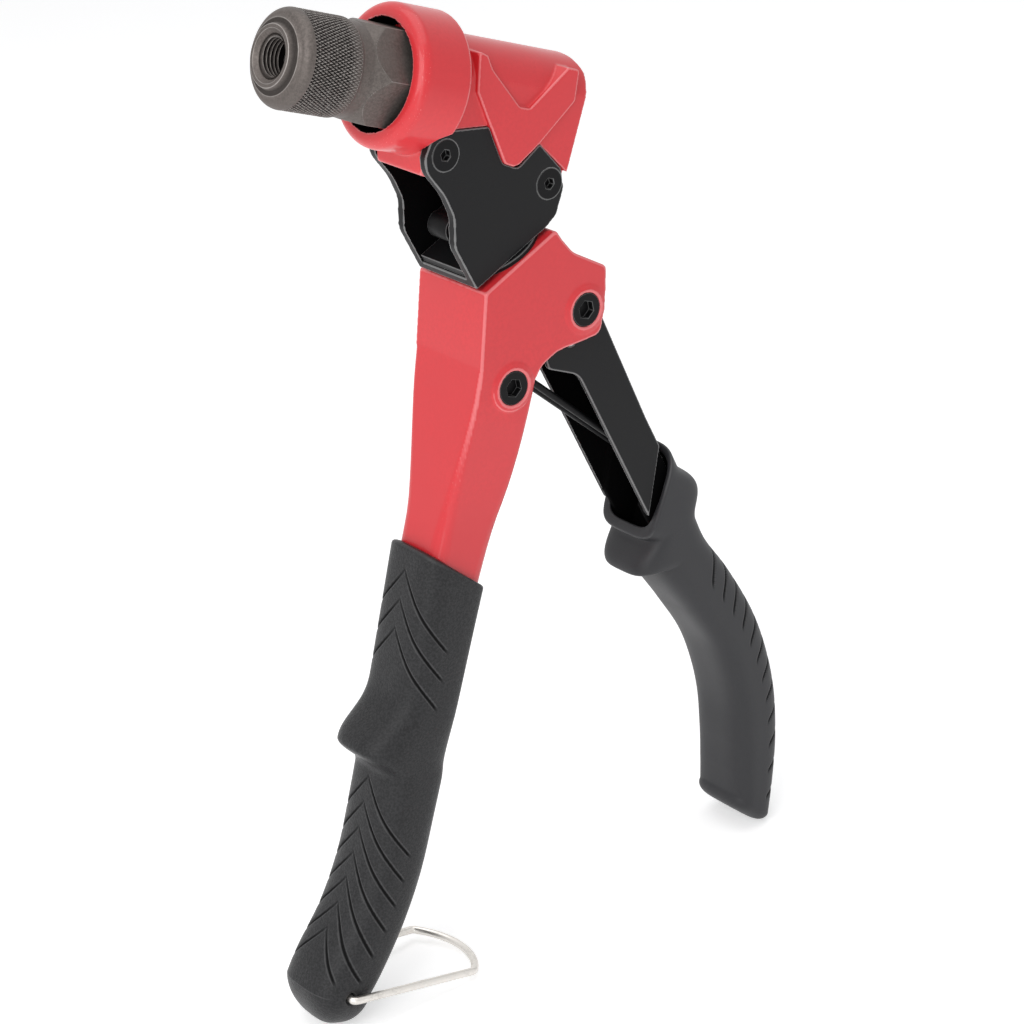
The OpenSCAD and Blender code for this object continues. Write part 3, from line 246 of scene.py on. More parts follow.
def finish(name, color, wear_and_highlight_color, metallic, rough, grain, drift, wear_and_highlight, coat=0.0, rough_worn=0.35,
           mirror=0.5, deep=0.06, grain_tone_and_highlight=0.0):
    """A finish for the record's slot of that name. worn is the colour of its lighter edges, part
    rubbing and part painted highlight; grain is scale, depth and roughening; drift is the scale of
    the smears and how far they move colour and roughness; wear is the edges' amount and break-up;
    deep is how dark grooves are, as painted shade, and mottle how much lighter the grain's tops
    are, part the grain's own tone and part painted highlight."""
    look = bpy.data.materials.new(name)
    look.use_nodes = True
    tree = look.node_tree
    shader = tree.nodes["Principled BSDF"]

    def tint(strength):
        return (*[part * strength for part in color], 1)

    smear = add(tree, "ShaderNodeGroup", {"Scale": drift[0]}, node_tree=handling).outputs["Mask"]
    # Lighter edges: part rubbing, part painted highlight.
    edge = add(tree, "ShaderNodeGroup", {"Amount": wear_and_highlight[0], "Break Up": wear_and_highlight[1]},
               node_tree=edge_wear_and_highlight).outputs["Mask"]
    surface = add(tree, "ShaderNodeGroup", {"Scale": grain[0], "Depth": grain[1],
                                            "Roughening": grain[2]}, node_tree=fine_grain).outputs
    # Painted shade: grooves, by the depth each mesh keeps, are darkened and dulled.
    groove = add(tree, "ShaderNodeAttribute", attribute_name="cavity").outputs["Fac"]
    shade = mix(tree, smear, tint(1), tint(1 + drift[1]))
    # Grain tops lightened: part the grain's own tone, part painted highlight.
    shade = mix(tree, remap(tree, surface["Height"], 0.42, 0.60), shade, tint(1 + grain_tone_and_highlight))
    shade = mix(tree, edge, mix(tree, groove, shade, tint(deep)), (*wear_and_highlight_color, 1))
    gloss = remap(tree, smear, 0.0, 1.0, rough, min(1.0, rough + drift[2]))
    gloss = mix(tree, groove, mix(tree, edge, gloss, rough_worn), 0.95)
    feed(tree, shader, {"Base Color": shade, "Roughness": gloss, "Normal": surface["Normal"],
                        "Metallic": metallic, "Specular IOR Level": mirror})
    if coat:
        feed(tree, shader, {"Coat Weight": coat, "Coat Roughness": 0.06})
    return look


# Nose sleeve: turned from round steel bar and phosphated grey-brown. The front third is diamond
# knurled for the fingers, the rear is milled to a hexagon that seats in the head's collar, and
# the spigot behind it screws into the head.
phosphate = finish("phosphated_steel", (0.100, 0.086, 0.079), (0.46, 0.43, 0.41), 0.5, 0.46,
                   (1300, 0.22, 0.75), (60, 0.30, 0.16), (0.6, 0.7), mirror=0.3, grain_tone_and_highlight=0.45)


def skin(name, rings, material, closed_ends=(False, False)):
    """A smooth tube through rings of points in metres, with its ends closed where asked."""
    rows, cols = rings.shape[:2]
    i, j = np.meshgrid(np.arange(rows - 1), np.arange(cols), indexing="ij")
    a, b = i * cols + j, i * cols + (j + 1) % cols
    faces = np.stack([a, b, b + cols, a + cols], -1).reshape(-1, 4).tolist()
    if closed_ends[0]:
        faces.append(list(range(cols))[::-1])
    if closed_ends[1]:
        faces.append(list(range((rows - 1) * cols, rows * cols)))
    mesh = bpy.data.meshes.new(name)
    mesh.from_pydata(rings.reshape(-1, 3).tolist(), [], faces)
    mesh.materials.append(material)
    mesh.shade_smooth()
    return put(name, mesh)


def outward(piece):
    """Points every face outwards."""
    work = bmesh.new()
    work.from_mesh(piece.data)
    bmesh.ops.recalc_face_normals(work, faces=work.faces)
    work.to_mesh(piece.data)
    work.free()


def settle(piece):
    """Makes what the modifiers give the piece's plain mesh."""
    live = piece.evaluated_get(bpy.context.evaluated_depsgraph_get())
    made = bpy.data.meshes.new_from_object(live)
    piece.modifiers.clear()
    piece.data = made


def store(piece, **fields):
    """Keeps one number a vertex under each name, for node trees and finishes to read."""
    for label, values in fields.items():
        held = piece.data.attributes
        kept = held.get(label) or held.new(label, "FLOAT", "POINT")
        kept.data.foreach_set("value", np.ravel(values))


def fetch(piece, label):
    """The numbers that are kept under a name."""
    values = np.zeros(len(piece.data.vertices))
    piece.data.attributes[label].data.foreach_get("value", values)
    return values


def mark_edges(piece, radius, rounds=0):
    """Stores how sharply the surface turns outwards: 1 where it turns in radius mm or less.
    Each round evens the values out with those of the neighbouring vertices."""
    mesh = piece.data
    many = len(mesh.vertices)
    place, normal = np.zeros(many * 3), np.zeros(many * 3)
    ends = np.zeros(len(mesh.edges) * 2, int)
    mesh.vertices.foreach_get("co", place)
    mesh.vertex_normals.foreach_get("vector", normal)
    mesh.edges.foreach_get("vertices", ends)
    place, normal, ends = place.reshape(-1, 3), normal.reshape(-1, 3), ends.reshape(-1, 2)
    here, there = np.concatenate([ends, ends[:, ::-1]]).T
    neighbours = np.maximum(np.bincount(here, minlength=many), 1)
    step = place[there] - place[here]
    bend = -2 * (normal[here] * step).sum(1) / np.maximum((step ** 2).sum(1), 1e-12)
    curve = np.bincount(here, bend, many) / neighbours
    for _ in range(rounds):
        curve = (curve + np.bincount(here, curve[there], many) / neighbours) / 2
    store(piece, edge=np.clip(curve * radius / 1000 * 2 - 0.25, 0, 1))


def group(name, knobs):
    """A Geometry Nodes tree with number inputs and a finish input, and its two ends."""
    tree = bpy.data.node_groups.new(name, "GeometryNodeTree")
    tree.is_modifier = True
    socket = tree.interface.new_socket
    socket("Geometry", in_out="INPUT", socket_type="NodeSocketGeometry")
    for label, value in knobs.items():
        socket(label, in_out="INPUT", socket_type="NodeSocketFloat").default_value = value
    socket("Finish", in_out="INPUT", socket_type="NodeSocketMaterial")
    socket("Geometry", in_out="OUTPUT", socket_type="NodeSocketGeometry")
    return tree, tree.nodes.new("NodeGroupInput").outputs, tree.nodes.new("NodeGroupOutput")


def read(tree, label):
    """A number that the mesh keeps under a name."""
    return add(tree, "GeometryNodeInputNamedAttribute", {"Name": label},
               data_type="FLOAT").outputs["Attribute"]


def close(tree, knob, end, shape):
    """Ends a tree with real geometry in the finish that was asked for."""
    real = add(tree, "GeometryNodeRealizeInstances", {0: shape}).outputs[0]
    painted = add(tree, "GeometryNodeSetMaterial", {"Geometry": real, "Material": knob["Finish"]})
    feed(tree, end, {"Geometry": painted.outputs[0]})


def sink(tree, knob, end, depth_mm):
    """Moves the surface inwards by depth_mm, keeps the depth as "cavity", the strength of the
    painted shade in the groove, and ends the tree.
    """
    normal = add(tree, "GeometryNodeInputNormal").outputs[0]
    inward = add(tree, "ShaderNodeVectorMath",
                 {0: normal, "Scale": calc(tree, "MULTIPLY", depth_mm, -0.001)}, operation="SCALE")
    sunk = add(tree, "GeometryNodeSetPosition", {"Geometry": knob["Geometry"],
                                                 "Offset": inward.outputs[0]}).outputs[0]
    shade = calc(tree, "MAXIMUM", read(tree, "cavity"), calc(tree, "MULTIPLY", depth_mm, 2.5))
    kept = add(tree, "GeometryNodeStoreNamedAttribute",
               {"Geometry": sunk, "Name": "cavity", "Value": shade},
               data_type="FLOAT", domain="POINT").outputs[0]
    close(tree, knob, end, kept)


def run_nodes(piece, tree, **values):
    """Runs a tree on a piece with inputs by name, and keeps the plain mesh that it makes."""
    modifier = piece.modifiers.new(tree.name, "NODES")
    modifier.node_group = tree
    sockets = {s.name: s.identifier for s in tree.interface.items_tree if s.in_out == "INPUT"}
    for label, value in values.items():
        modifier[sockets[label]] = value
    settle(piece)


KNURL_START, KNURL_END, KNURL_R = 5.6, 21.0, 13.8
NECK_R, BLANK_R, SPIGOT_R, REAR_BORE_R = 13.25, 15.75, 11, 7.96
CHAMFER_START, CHAMFER_LONG = 25.4, 5.2
HEX_START, HEX_END, HEX_FLAT, HEX_CORNER, HEX_SOFT = 25.0, 45, 13.45, 15.6, 14.0
SLEEVE_END, REAR_BORE_END = 57, 13.5
outline = [(3.0, 5.9), (1.6, 6.0), (1.2, 6.1), (0.95, 6.4), (0.3, 7.15), (0.08, 7.36),
           (0.0, 7.5), (0.0, 7.6), (0.0, 8.35), (0.0, 8.45), (0.03, 8.55), (0.1, 8.64),
           (0.2, 8.7), (0.3, 8.74), (1.5, 9.2), (1.62, 9.3), (1.66, 9.45), (1.68, 10.35),
           (1.7, 10.5), (1.76, 10.62), (1.88, 10.74), (2.05, 10.9)]
outline += [(KNURL_START - 3.2 * math.cos(a), KNURL_R - 2.7 * (1 - math.sin(a)))
            for a in np.radians(np.arange(6, 90, 6))]
outline += [(x, KNURL_R) for x in np.arange(KNURL_START, KNURL_END, 0.22)]
outline += [(21.05, 13.72), (21.3, 13.45), (22, 13.3), (23.5, 13.28), (25.2, NECK_R)]
outline += [(x, NECK_R + (BLANK_R - NECK_R) * (x - CHAMFER_START) / CHAMFER_LONG)
            for x in np.arange(CHAMFER_START, CHAMFER_START + CHAMFER_LONG + 0.01, 0.29)]
outline += [(x, BLANK_R) for x in np.arange(31, 44.9, 1.2)]
outline += [(HEX_END, 15.7), (HEX_END, SPIGOT_R), (SLEEVE_END, SPIGOT_R), (SLEEVE_END, 9.5),
            (SLEEVE_END, REAR_BORE_R), (REAR_BORE_END, REAR_BORE_R)]
outline = np.array(outline)
round_nose = np.linspace(0, 2 * math.pi, 640, endpoint=False)
hexagon = HEX_FLAT / np.cos(round_nose % (math.pi / 3) - math.pi / 6)


def circle(x, radius, angles):
    """A ring of points about the nose axis."""
    return np.stack([np.full_like(angles, x), radius * np.cos(angles), radius * np.sin(angles)], -1)


rows = []
for x, r in outline:
    radius = np.full_like(round_nose, r)
    if HEX_START - 0.5 < x < HEX_END + 0.1 and r > 12:
        flats = np.minimum(hexagon, HEX_CORNER)
        radius = 0.02 - np.log(np.exp(-HEX_SOFT * radius) + np.exp(-HEX_SOFT * flats)) / HEX_SOFT
    rows.append(circle(x, radius, round_nose))
nose = skin("nose_sleeve_skin", tool(np.array(rows)), phosphate)
outward(nose)
store(nose, axial=np.repeat(outline[:, 0], len(round_nose)),
      around=np.tile(round_nose / (2 * math.pi), len(outline)))

knurl, knob, end = group("diamond_knurl", {"Ridges": 88.0, "Lead": 168.0, "Depth": 0.4,
                                           "From": 5.2, "To": 21.0, "Fade": 4.0})
do = functools.partial(calc, knurl)
axial, around = read(knurl, "axial"), read(knurl, "around")
turns = do("MULTIPLY", around, knob["Ridges"])
climb = do("MULTIPLY", do("DIVIDE", axial, knob["Lead"]), knob["Ridges"])
left = do("PINGPONG", do("ADD", turns, climb), 0.5)
right = do("PINGPONG", do("SUBTRACT", turns, climb), 0.5)
ridge = do("MINIMUM", do("MULTIPLY", do("MINIMUM", left, right), 2.6), 1.0)
inside = do("MULTIPLY", do("GREATER_THAN", axial, knob["From"]), do("LESS_THAN", axial, knob["To"]))
groove = do("MULTIPLY", do("SUBTRACT", 1.0, ridge), knob["Depth"])
fade = do("DIVIDE", do("SUBTRACT", knob["To"], axial), knob["Fade"])
groove = do("MULTIPLY", groove, do("MAXIMUM", do("MINIMUM", fade, 1.0), 0.25))
sink(knurl, knob, end, do("MULTIPLY", groove, inside))
run_nodes(nose, knurl, Finish=phosphate, Ridges=88.0, Lead=168.0, Depth=0.4, From=5.3, To=21.0,
          Fade=4.0)

mark_edges(nose, 0.35)
# Thin light lines along the nose's turned edges and the hexagon's chamfer: part rubbing, part painted
# highlight.
LINE_NEAR, HEX_LINE_NEAR = 0.012, 0.008
rub_and_highlight = fetch(nose, "edge").reshape(len(outline), -1)
for x, r, strength in ((0.05, 8.55, 0.85), (1.78, 10.64, 0.8), (0.05, 7.4, 0.45), (5.3, 13.8, 0.5)):
    near = np.exp(-((outline[:, 0] - x) ** 2 + (outline[:, 1] - r) ** 2) / LINE_NEAR)
    rub_and_highlight = np.maximum(rub_and_highlight, strength * near[:, None])
for k, (x, r) in enumerate(outline):
    if 25.3 < x < 30.7 and r > 12:
        rub_and_highlight[k] = np.maximum(rub_and_highlight[k], 0.6 * np.exp(-(hexagon - r) ** 2 / HEX_LINE_NEAR))
# Painted shade: all grooves are darkened more, and the recessed step ring behind the front face too.
shade_in_recesses = fetch(nose, "cavity").reshape(len(outline), -1)
x, r = outline.T
step_face = (x > 0.3) & (x < 1.72) & (r > 8.7) & (r < 10.45)
shade_in_recesses[step_face] = np.maximum(shade_in_recesses[step_face], 0.45)
store(nose, edge=rub_and_highlight, cavity=np.clip(shade_in_recesses * 1.3, 0, 1))
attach(nose, "head")
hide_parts("nose_sleeve")


# Nose thread: the fine inside thread that takes the nosepiece. It is cut with a tap into the
# same steel sleeve; its crests catch the light, and its roots are darkened with painted shade.
THREAD_R = 5.9
round_thread = np.linspace(0, 2 * math.pi, 144, endpoint=False)
thread_x = np.concatenate([[0.95], np.arange(1.3, 7.25, 0.1), [7.3, 13.3]])
thread = skin("nose_thread", tool(np.array([circle(x, THREAD_R, round_thread) for x in thread_x])),
              phosphate)
store(thread, axial=np.repeat(thread_x, len(round_thread)),
      around=np.tile(round_thread / (2 * math.pi), len(thread_x)))
tap, knob, end = group("inside_thread", {"Pitch": 1.25, "Depth": 0.65, "From": 1.5, "To": 7.2})
do = functools.partial(calc, tap)
axial, around = read(tap, "axial"), read(tap, "around")
phase = do("PINGPONG", do("ADD", do("DIVIDE", axial, knob["Pitch"]), around), 0.5)
crest = do("MINIMUM", do("MAXIMUM", do("MULTIPLY_ADD", phase, 2.5, -0.12), 0.0), 1.0)
inside = do("MULTIPLY", do("GREATER_THAN", axial, knob["From"]), do("LESS_THAN", axial, knob["To"]))
sink(tap, knob, end, do("MULTIPLY", do("MULTIPLY", crest, knob["Depth"]), inside))
run_nodes(thread, tap, Finish=phosphate, Pitch=1.25, Depth=0.65)
# Painted shade: the thread's roots are darkened, fading out towards the front.
root = np.clip(1.15 - fetch(thread, "cavity") / 1.6, 0, 1)
store(thread, cavity=root * np.clip((np.repeat(thread_x, len(round_thread)) - 0.8) / 1.2, 0, 1))
thread.data.flip_normals()
mark_edges(thread, 0.3)
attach(thread, "head")


# Head housing: a steel casting with a heavy collar, a tongue below and a V rib on each side,
# painted red. Its bore gets no light, and painted shade makes it black round the sleeve.
# The pale pink of the red enamel's edges is painted highlight.
red_enamel = finish("red_enamel", (0.66, 0.029, 0.037), (0.86, 0.25, 0.26), 0.0, 0.34,
                    (900, 0.05, 0.5), (18, 0.10, 0.10), (0.6, 0.15), coat=0.4, mirror=0.32)
# Painted shade: a near-black finish with almost no reflection, put on faces where no light reaches.
painted_shade_black = finish("painted_shade_inside", (0.0016, 0.0016, 0.0018), (0.02, 0.02, 0.02), 0.0, 0.85,
                     (1500, 0.05, 0.5), (60, 0.5, 0.1), (0.0, 0.5), mirror=0.04)


def node_copy(node, name, rework):
    """A piece with a CAD node's mesh, its doubles merged, reworked by a bmesh function."""
    piece = put(name, frame["nodes"][node].data.copy())
    work = bmesh.new()
    work.from_mesh(piece.data)
    bmesh.ops.remove_doubles(work, verts=work.verts, dist=0.00001)
    rework(work)
    work.to_mesh(piece.data)
    work.free()
    return piece


def fit(piece, node, material, body):
    """Gives a node's copy its finish and its place on the tool."""
    piece.data.materials.clear()
    piece.data.materials.append(material)
    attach(piece, body)
    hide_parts(node)
    return piece


def cast(node, name, material, body, voxel, keep, edge, cut=None, rounds=0):
    """A copy of a node with the soft corners that casting, forging or moulding leaves; what
    lies past the cut, a point and a direction, is hidden in a grip and left out."""
    def trim(work):
        if cut:
            bmesh.ops.bisect_plane(work, geom=work.verts[:] + work.edges[:] + work.faces[:],
                                   clear_outer=True, plane_co=Vector(tool(cut[0]).tolist()),
                                   plane_no=turned(cut[1]))
            bmesh.ops.holes_fill(work, edges=[e for e in work.edges if e.is_boundary])

    piece = node_copy(node, name, trim)
    for kind, values in (("REMESH", {"mode": "VOXEL", "voxel_size": voxel / 1000}),
                         ("SMOOTH", {"factor": 0.5, "iterations": 4}),
                         ("DECIMATE", {"ratio": keep})):
        modifier = piece.modifiers.new(kind.lower(), kind)
        for label, value in values.items():
            setattr(modifier, label, value)
    settle(piece)
    piece.data.shade_smooth()
    mark_edges(piece, edge, rounds)
    return fit(piece, node, material, body)


def faces_of(piece):
    """The centres and the normals of a piece's faces."""
    found = []
    for label in ("center", "normal"):
        values = np.zeros(len(piece.data.polygons) * 3)
        piece.data.polygons.foreach_get(label, values)
        found.append(values.reshape(-1, 3))
    return found


def blacken(piece, inside):
    """Paints shade on faces inside a mouth or a channel, as the near-black of a place without light."""
    piece.data.materials.append(painted_shade_black)
    piece.data.polygons.foreach_set("material_index", inside.astype(np.int32))


head = cast("head_housing", "head_casting", red_enamel, "head", voxel=0.36, keep=0.58, edge=1.0)
MOUTH_R, MOUTH_DEPTH = 16.7, 70
centres, normals = faces_of(head)
spot = (centres - ORIGIN) * 1000
off_axis = np.hypot(spot[:, 1], spot @ UP)
rises = (normals * (spot[:, 1:2] * ACROSS + (spot @ UP)[:, None] * UP)).sum(1)
# Painted shade: faces in the bore that look towards the axis take the near-black finish.
blacken(head, (off_axis < MOUTH_R) & (spot @ BACK < MOUTH_DEPTH) & (rises < -0.5 * off_axis))


# Bracket: a U of steel sheet round the head's tongue, its corners rolled soft, enamelled black.
# A plate of the same sheet stiffens its base, where the swivel passes through.
black_enamel = finish("black_enamel", (0.0065, 0.0065, 0.0072), (0.20, 0.20, 0.20), 0.0, 0.42,
                      (2200, 0.10, 0.6), (30, 0.4, 0.12), (0.95, 0.25), rough_worn=0.32, mirror=0.2)


def machined(node, name, width, material, body, segments=2):
    """A copy of a node with its edges broken width mm wide, as deburring leaves them. The
    narrow new faces carry the lighter edge marks, part rubbing and part painted highlight."""
    def flatten(work):
        bmesh.ops.dissolve_limit(work, angle_limit=math.radians(1.0), verts=work.verts,
                                 edges=work.edges)

    piece = node_copy(node, name, flatten)
    piece.data.materials.clear()
    for _ in range(2):
        piece.data.materials.append(material)
    bevel = piece.modifiers.new("bevel", "BEVEL")
    bevel.material = 1
    bevel.width = width / 1000
    bevel.segments = segments
    bevel.limit_method = "ANGLE"
    bevel.angle_limit = math.radians(32)
    bevel.harden_normals = True
    settle(piece)
    broken = np.zeros(len(piece.data.polygons), int)
    piece.data.polygons.foreach_get("material_index", broken)
    wear_and_highlight = piece.data.attributes.new("edge", "FLOAT", "FACE")
    wear_and_highlight.data.foreach_set("value", broken * 0.6)
    return fit(piece, node, material, body)


bracket = cast("bracket", "bracket_sheet", black_enamel, "head", voxel=0.3, keep=0.8, edge=1.1)
# Painted shade: the inner faces of the U take the near-black finish.
centres, normals = faces_of(bracket)
blacken(bracket, normals[:, 1] * centres[:, 1] < -0.8 * np.abs(centres[:, 1]))
machined("base_plate", "base_plate_sheet", 0.3, black_enamel, "head")


# Draw bar and crank: the bar and its yoke are turned from steel, the bell crank is forged, and
# the pin, spacer and bronze bush are ground. They show in the nose and the bracket's opening.
ground_steel = finish("ground_steel", (0.50, 0.49, 0.48), (0.75, 0.75, 0.75), 1.0, 0.30,
                      (1400, 0.06, 0.6), (90, -0.2, 0.15), (0.5, 0.5))
black_oxide = finish("black_oxide", (0.0045, 0.0045, 0.005), (0.16, 0.16, 0.16), 0.0, 0.40,
                     (1800, 0.08, 0.6), (80, 0.4, 0.12), (0.9, 0.35), mirror=0.14)
bronze = finish("bronze", (0.42, 0.25, 0.10), (0.7, 0.5, 0.25), 1.0, 0.35,
                (1500, 0.05, 0.6), (90, -0.2, 0.15), (0.5, 0.5))
machined("draw_bar", "draw_bar_turned", 0.4, ground_steel, "draw_bar")
machined("draw_yoke", "draw_yoke_turned", 0.4, black_oxide, "draw_bar")
machined("bell_crank", "bell_crank_forged", 0.7, black_oxide, "bell_crank", segments=3)
machined("crank_pin", "crank_pin_ground", 0.3, ground_steel, "head")
machined("front_spacer", "front_spacer_ground", 0.3, ground_steel, "head")
machined("spring_bush", "spring_bush_turned", 0.3, bronze, "head")

# Bracket screws: four countersunk socket screws with a black oxide finish, two on each side.
# The front pair screws into the tubular spacer and the rear pair into the crank's pin.
machined("front_bracket_screws", "front_bracket_screws_set", 0.22, black_oxide, "head", segments=3)
machined("rear_bracket_screws", "rear_bracket_screws_set", 0.22, black_oxide, "head", segments=3)

# Swivel: a hollow steel hub pressed into the handle, with a friction disc between handle and
# bracket, and a retaining ring in its groove above the base plate. The push rod slides through
# the hub. All are blackened.
machined("swivel_hub", "swivel_hub_turned", 0.3, black_oxide, "handle")
machined("swivel_disc", "swivel_disc_pressed", 0.3, black_oxide, "handle")
machined("swivel_ring", "swivel_ring_pressed", 0.2, black_oxide, "handle")
machined("push_rod", "push_rod_ground", 0.4, black_oxide, "push_rod")

# Handle: a cast steel yoke, painted red as the head is. Its shaft narrows from the fork down
# into the rubber grip, which hides the tang, so the copy ends inside the grip.
cast("handle_frame", "handle_casting", red_enamel, "handle", voxel=0.38, keep=0.68, edge=1.15,
     cut=((95, 0, -150), (0, 0, -1)), rounds=3)

# Pivot and spring pins: ground steel barrels across the fork, one for the lever and one for its
# spring. Each is held by two black socket cap screws, one from each side.
machined("pivot_barrel", "pivot_barrel_ground", 0.3, ground_steel, "handle")
machined("spring_barrel", "spring_barrel_ground", 0.3, ground_steel, "handle")
machined("pivot_screws", "pivot_screws_set", 0.35, black_oxide, "handle", segments=3)
machined("spring_screws", "spring_screws_set", 0.35, black_oxide, "handle", segments=3)


# Lever: a channel bent from steel sheet and enamelled black, open towards the handle. A forged cam
# block is held between its sides by two rivets, and a bronze bush turns on the pivot barrel.
lever = cast("lever_arm", "lever_channel", black_enamel, "lever", voxel=0.36, keep=0.8, edge=0.7,
             cut=((188, 0, -120), (0.707, 0, -0.707)))
# Painted shade: faces inside the channel and the sides' inner faces take the near-black finish.
CHANNEL_HALF = 0.0094
centres, normals = faces_of(lever)
faces_back = normals @ np.array(turned((0.7071, 0, 0.7071)))
blacken(lever, (np.abs(centres[:, 1]) < CHANNEL_HALF) & (faces_back < 0.5)
        | (normals[:, 1] * centres[:, 1] < -0.7 * np.abs(centres[:, 1])))
machined("lever_cam", "lever_cam_forged", 0.4, phosphate, "lever")
machined("cam_rivets", "cam_rivets_set", 0.3, ground_steel, "lever")
machined("lever_bush", "lever_bush_turned", 0.2, bronze, "lever")


# Fixed grip: moulded black rubber, pushed over the handle's shaft. A slanted rim stands at its
# top, a finger bump half way down its front, and chevron grooves run round from the front.
grip_rubber = finish("black_rubber", (0.0125, 0.0125, 0.0132), (0.085, 0.085, 0.087), 0.0, 0.36,
                     (1400, 0.95, 0.62), (34, 0.30, 0.12), (0.5, 0.3), mirror=0.24, deep=0.2,
                     grain_tone_and_highlight=1.3)


def course(table, column, at):
    """Smooth curve through the rows of a table, read at each value of its first column."""
    table = np.asarray(table, float)
    t, y = table[:, 0], table[:, column]
    tangent = np.empty_like(y)
    tangent[1:-1] = (y[2:] - y[:-2]) / (t[2:] - t[:-2])
    tangent[0], tangent[-1] = (y[1] - y[0]) / (t[1] - t[0]), (y[-1] - y[-2]) / (t[-1] - t[-2])
    at = np.clip(at, t[0], t[-1])
    i = np.clip(np.searchsorted(t, at, "right") - 1, 0, len(t) - 2)
    h = t[i + 1] - t[i]
    u = (at - t[i]) / h
    return ((2 * u ** 3 - 3 * u * u + 1) * y[i] + (u ** 3 - 2 * u * u + u) * h * tangent[i]
            + (3 * u * u - 2 * u ** 3) * y[i + 1] + (u ** 3 - u * u) * h * tangent[i + 1])


def hump(t, crest, before, behind, sharp=1.0):
    """A smooth hump of height 1 at its crest, with its own run before and behind."""
    u = np.clip(np.where(t < crest, (crest - t) / before, (t - crest) / behind), 0, 1)
    return ((1 + np.cos(np.pi * u)) / 2) ** sharp


def oval(power, count):
    """Rounded square with even steps along its edge, from the front round to the front."""
    a = np.linspace(-math.pi, math.pi, 4001)
    c, s = np.cos(a), np.sin(a)
    x, y = np.sign(c) * np.abs(c) ** (2 / power), np.sign(s) * np.abs(s) ** (2 / power)
    run = np.concatenate([[0], np.cumsum(np.hypot(np.diff(x), np.diff(y)))])
    even = np.linspace(0, run[-1], count, endpoint=False)
    return np.interp(even, run, x), np.interp(even, run, y)


def stretch(rings):
    """Distance of each point from the front centre line, measured round the surface."""
    half = rings.shape[1] // 2
    step = np.linalg.norm(np.roll(rings, -1, axis=1) - rings, axis=2)
    left = np.concatenate([np.zeros((len(rings), 1)), np.cumsum(step[:, :half], axis=1)], axis=1)
    back = np.cumsum(step[:, ::-1][:, :half], axis=1)
    return np.concatenate([left[:, :half + 1], back[:, ::-1][:, 1:]], axis=1)


AROUND = 224
GRIP_START, GRIP_END, GRIP_CAP = 137.5, 285.0, 12.0
RIM_SLANT, SHAFT_X = math.radians(19), 95
SQUARE, ROUND = 4, 2.8
# Drop below the nose axis, front of the grip, back of the grip.
grip_table = [(128, 84, 109.2), (150, 85.4, 109.4), (170, 86.6, 109.8), (190, 87.8, 110.3),
              (215, 89, 111), (233, 89.2, 111.2), (250, 86.9, 109), (266, 81.6, 105),
              (278, 79.5, 100.2), (285, 78.4, 98.4)]


def grip_points(down, shrink=0.0):
    """Section of the grip at each drop below the nose axis, one drop for each point round it."""
    front = course(grip_table, 1, down) - 9 * hump(down, 196.5, 24, 9, 2)
    back = course(grip_table, 2, down)
    low = np.clip((down - GRIP_END + GRIP_CAP) / GRIP_CAP, 0, 1)
    taper = np.maximum(np.sqrt(1 - low ** 2), 0.02)
    middle = (front + back) / 2 + 4.5 * low
    half = (back - front) / 2 * taper - shrink
    wide = (12.7 + 0.3 * np.sin(np.radians(90 * (down - 128) / 160))) * taper - shrink
    power = np.where(down < 230, SQUARE - 1.2 * (down - 128) / 102, ROUND)
    square, rounder = oval(SQUARE, AROUND), oval(ROUND, AROUND)
    share = (power - ROUND) / 1.2
    x = middle + half * (square[0] * share + rounder[0] * (1 - share))
    return np.stack([x, wide * (square[1] * share + rounder[1] * (1 - share)), -down], -1)


rim_drop = np.full(AROUND, GRIP_START)
for _ in range(8):
    rim_drop = GRIP_START + (grip_points(rim_drop)[:, 0] - SHAFT_X) * math.tan(RIM_SLANT)
below_rim = rim_drop + 1.2
slanted = np.linspace(0, 1, 90)[:, None] * (168 - below_rim) + below_rim
cap = GRIP_END - GRIP_CAP + GRIP_CAP * np.sin(np.radians(np.arange(0, 88, 3.2)))
level = np.concatenate([np.arange(168.4, GRIP_END - GRIP_CAP, 0.4), cap, [GRIP_END - 0.03]])
levels = np.concatenate([slanted, np.repeat(level[:, None], AROUND, axis=1)])
# How far below the rim's top and how far in from the skin the rolled rim runs.
rim = [grip_points(rim_drop + depth, inset) for depth, inset in (
    (6.0, 2.6), (1.0, 2.6), (0.35, 2.45), (0.0, 2.1), (0.0, 1.2), (0.1, 0.72), (0.35, 0.35),
    (0.72, 0.1))]
rings = np.array(rim + [grip_points(drops) for drops in levels])
reach = stretch(rings)
BAIL_HOLE, DIMPLE_R = (90.4, -272.6), 1.9
to_hole = np.hypot(rings[..., 0] - BAIL_HOLE[0], rings[..., 2] - BAIL_HOLE[1])
rings[..., 1] *= 1 - 0.16 * (to_hole < DIMPLE_R) * (np.abs(rings[..., 1]) > 6)
fixed = skin("fixed_grip_rubber", tool(rings), grip_rubber, (False, True))
outward(fixed)
store(fixed, drop=-rings[..., 2], reach=reach)

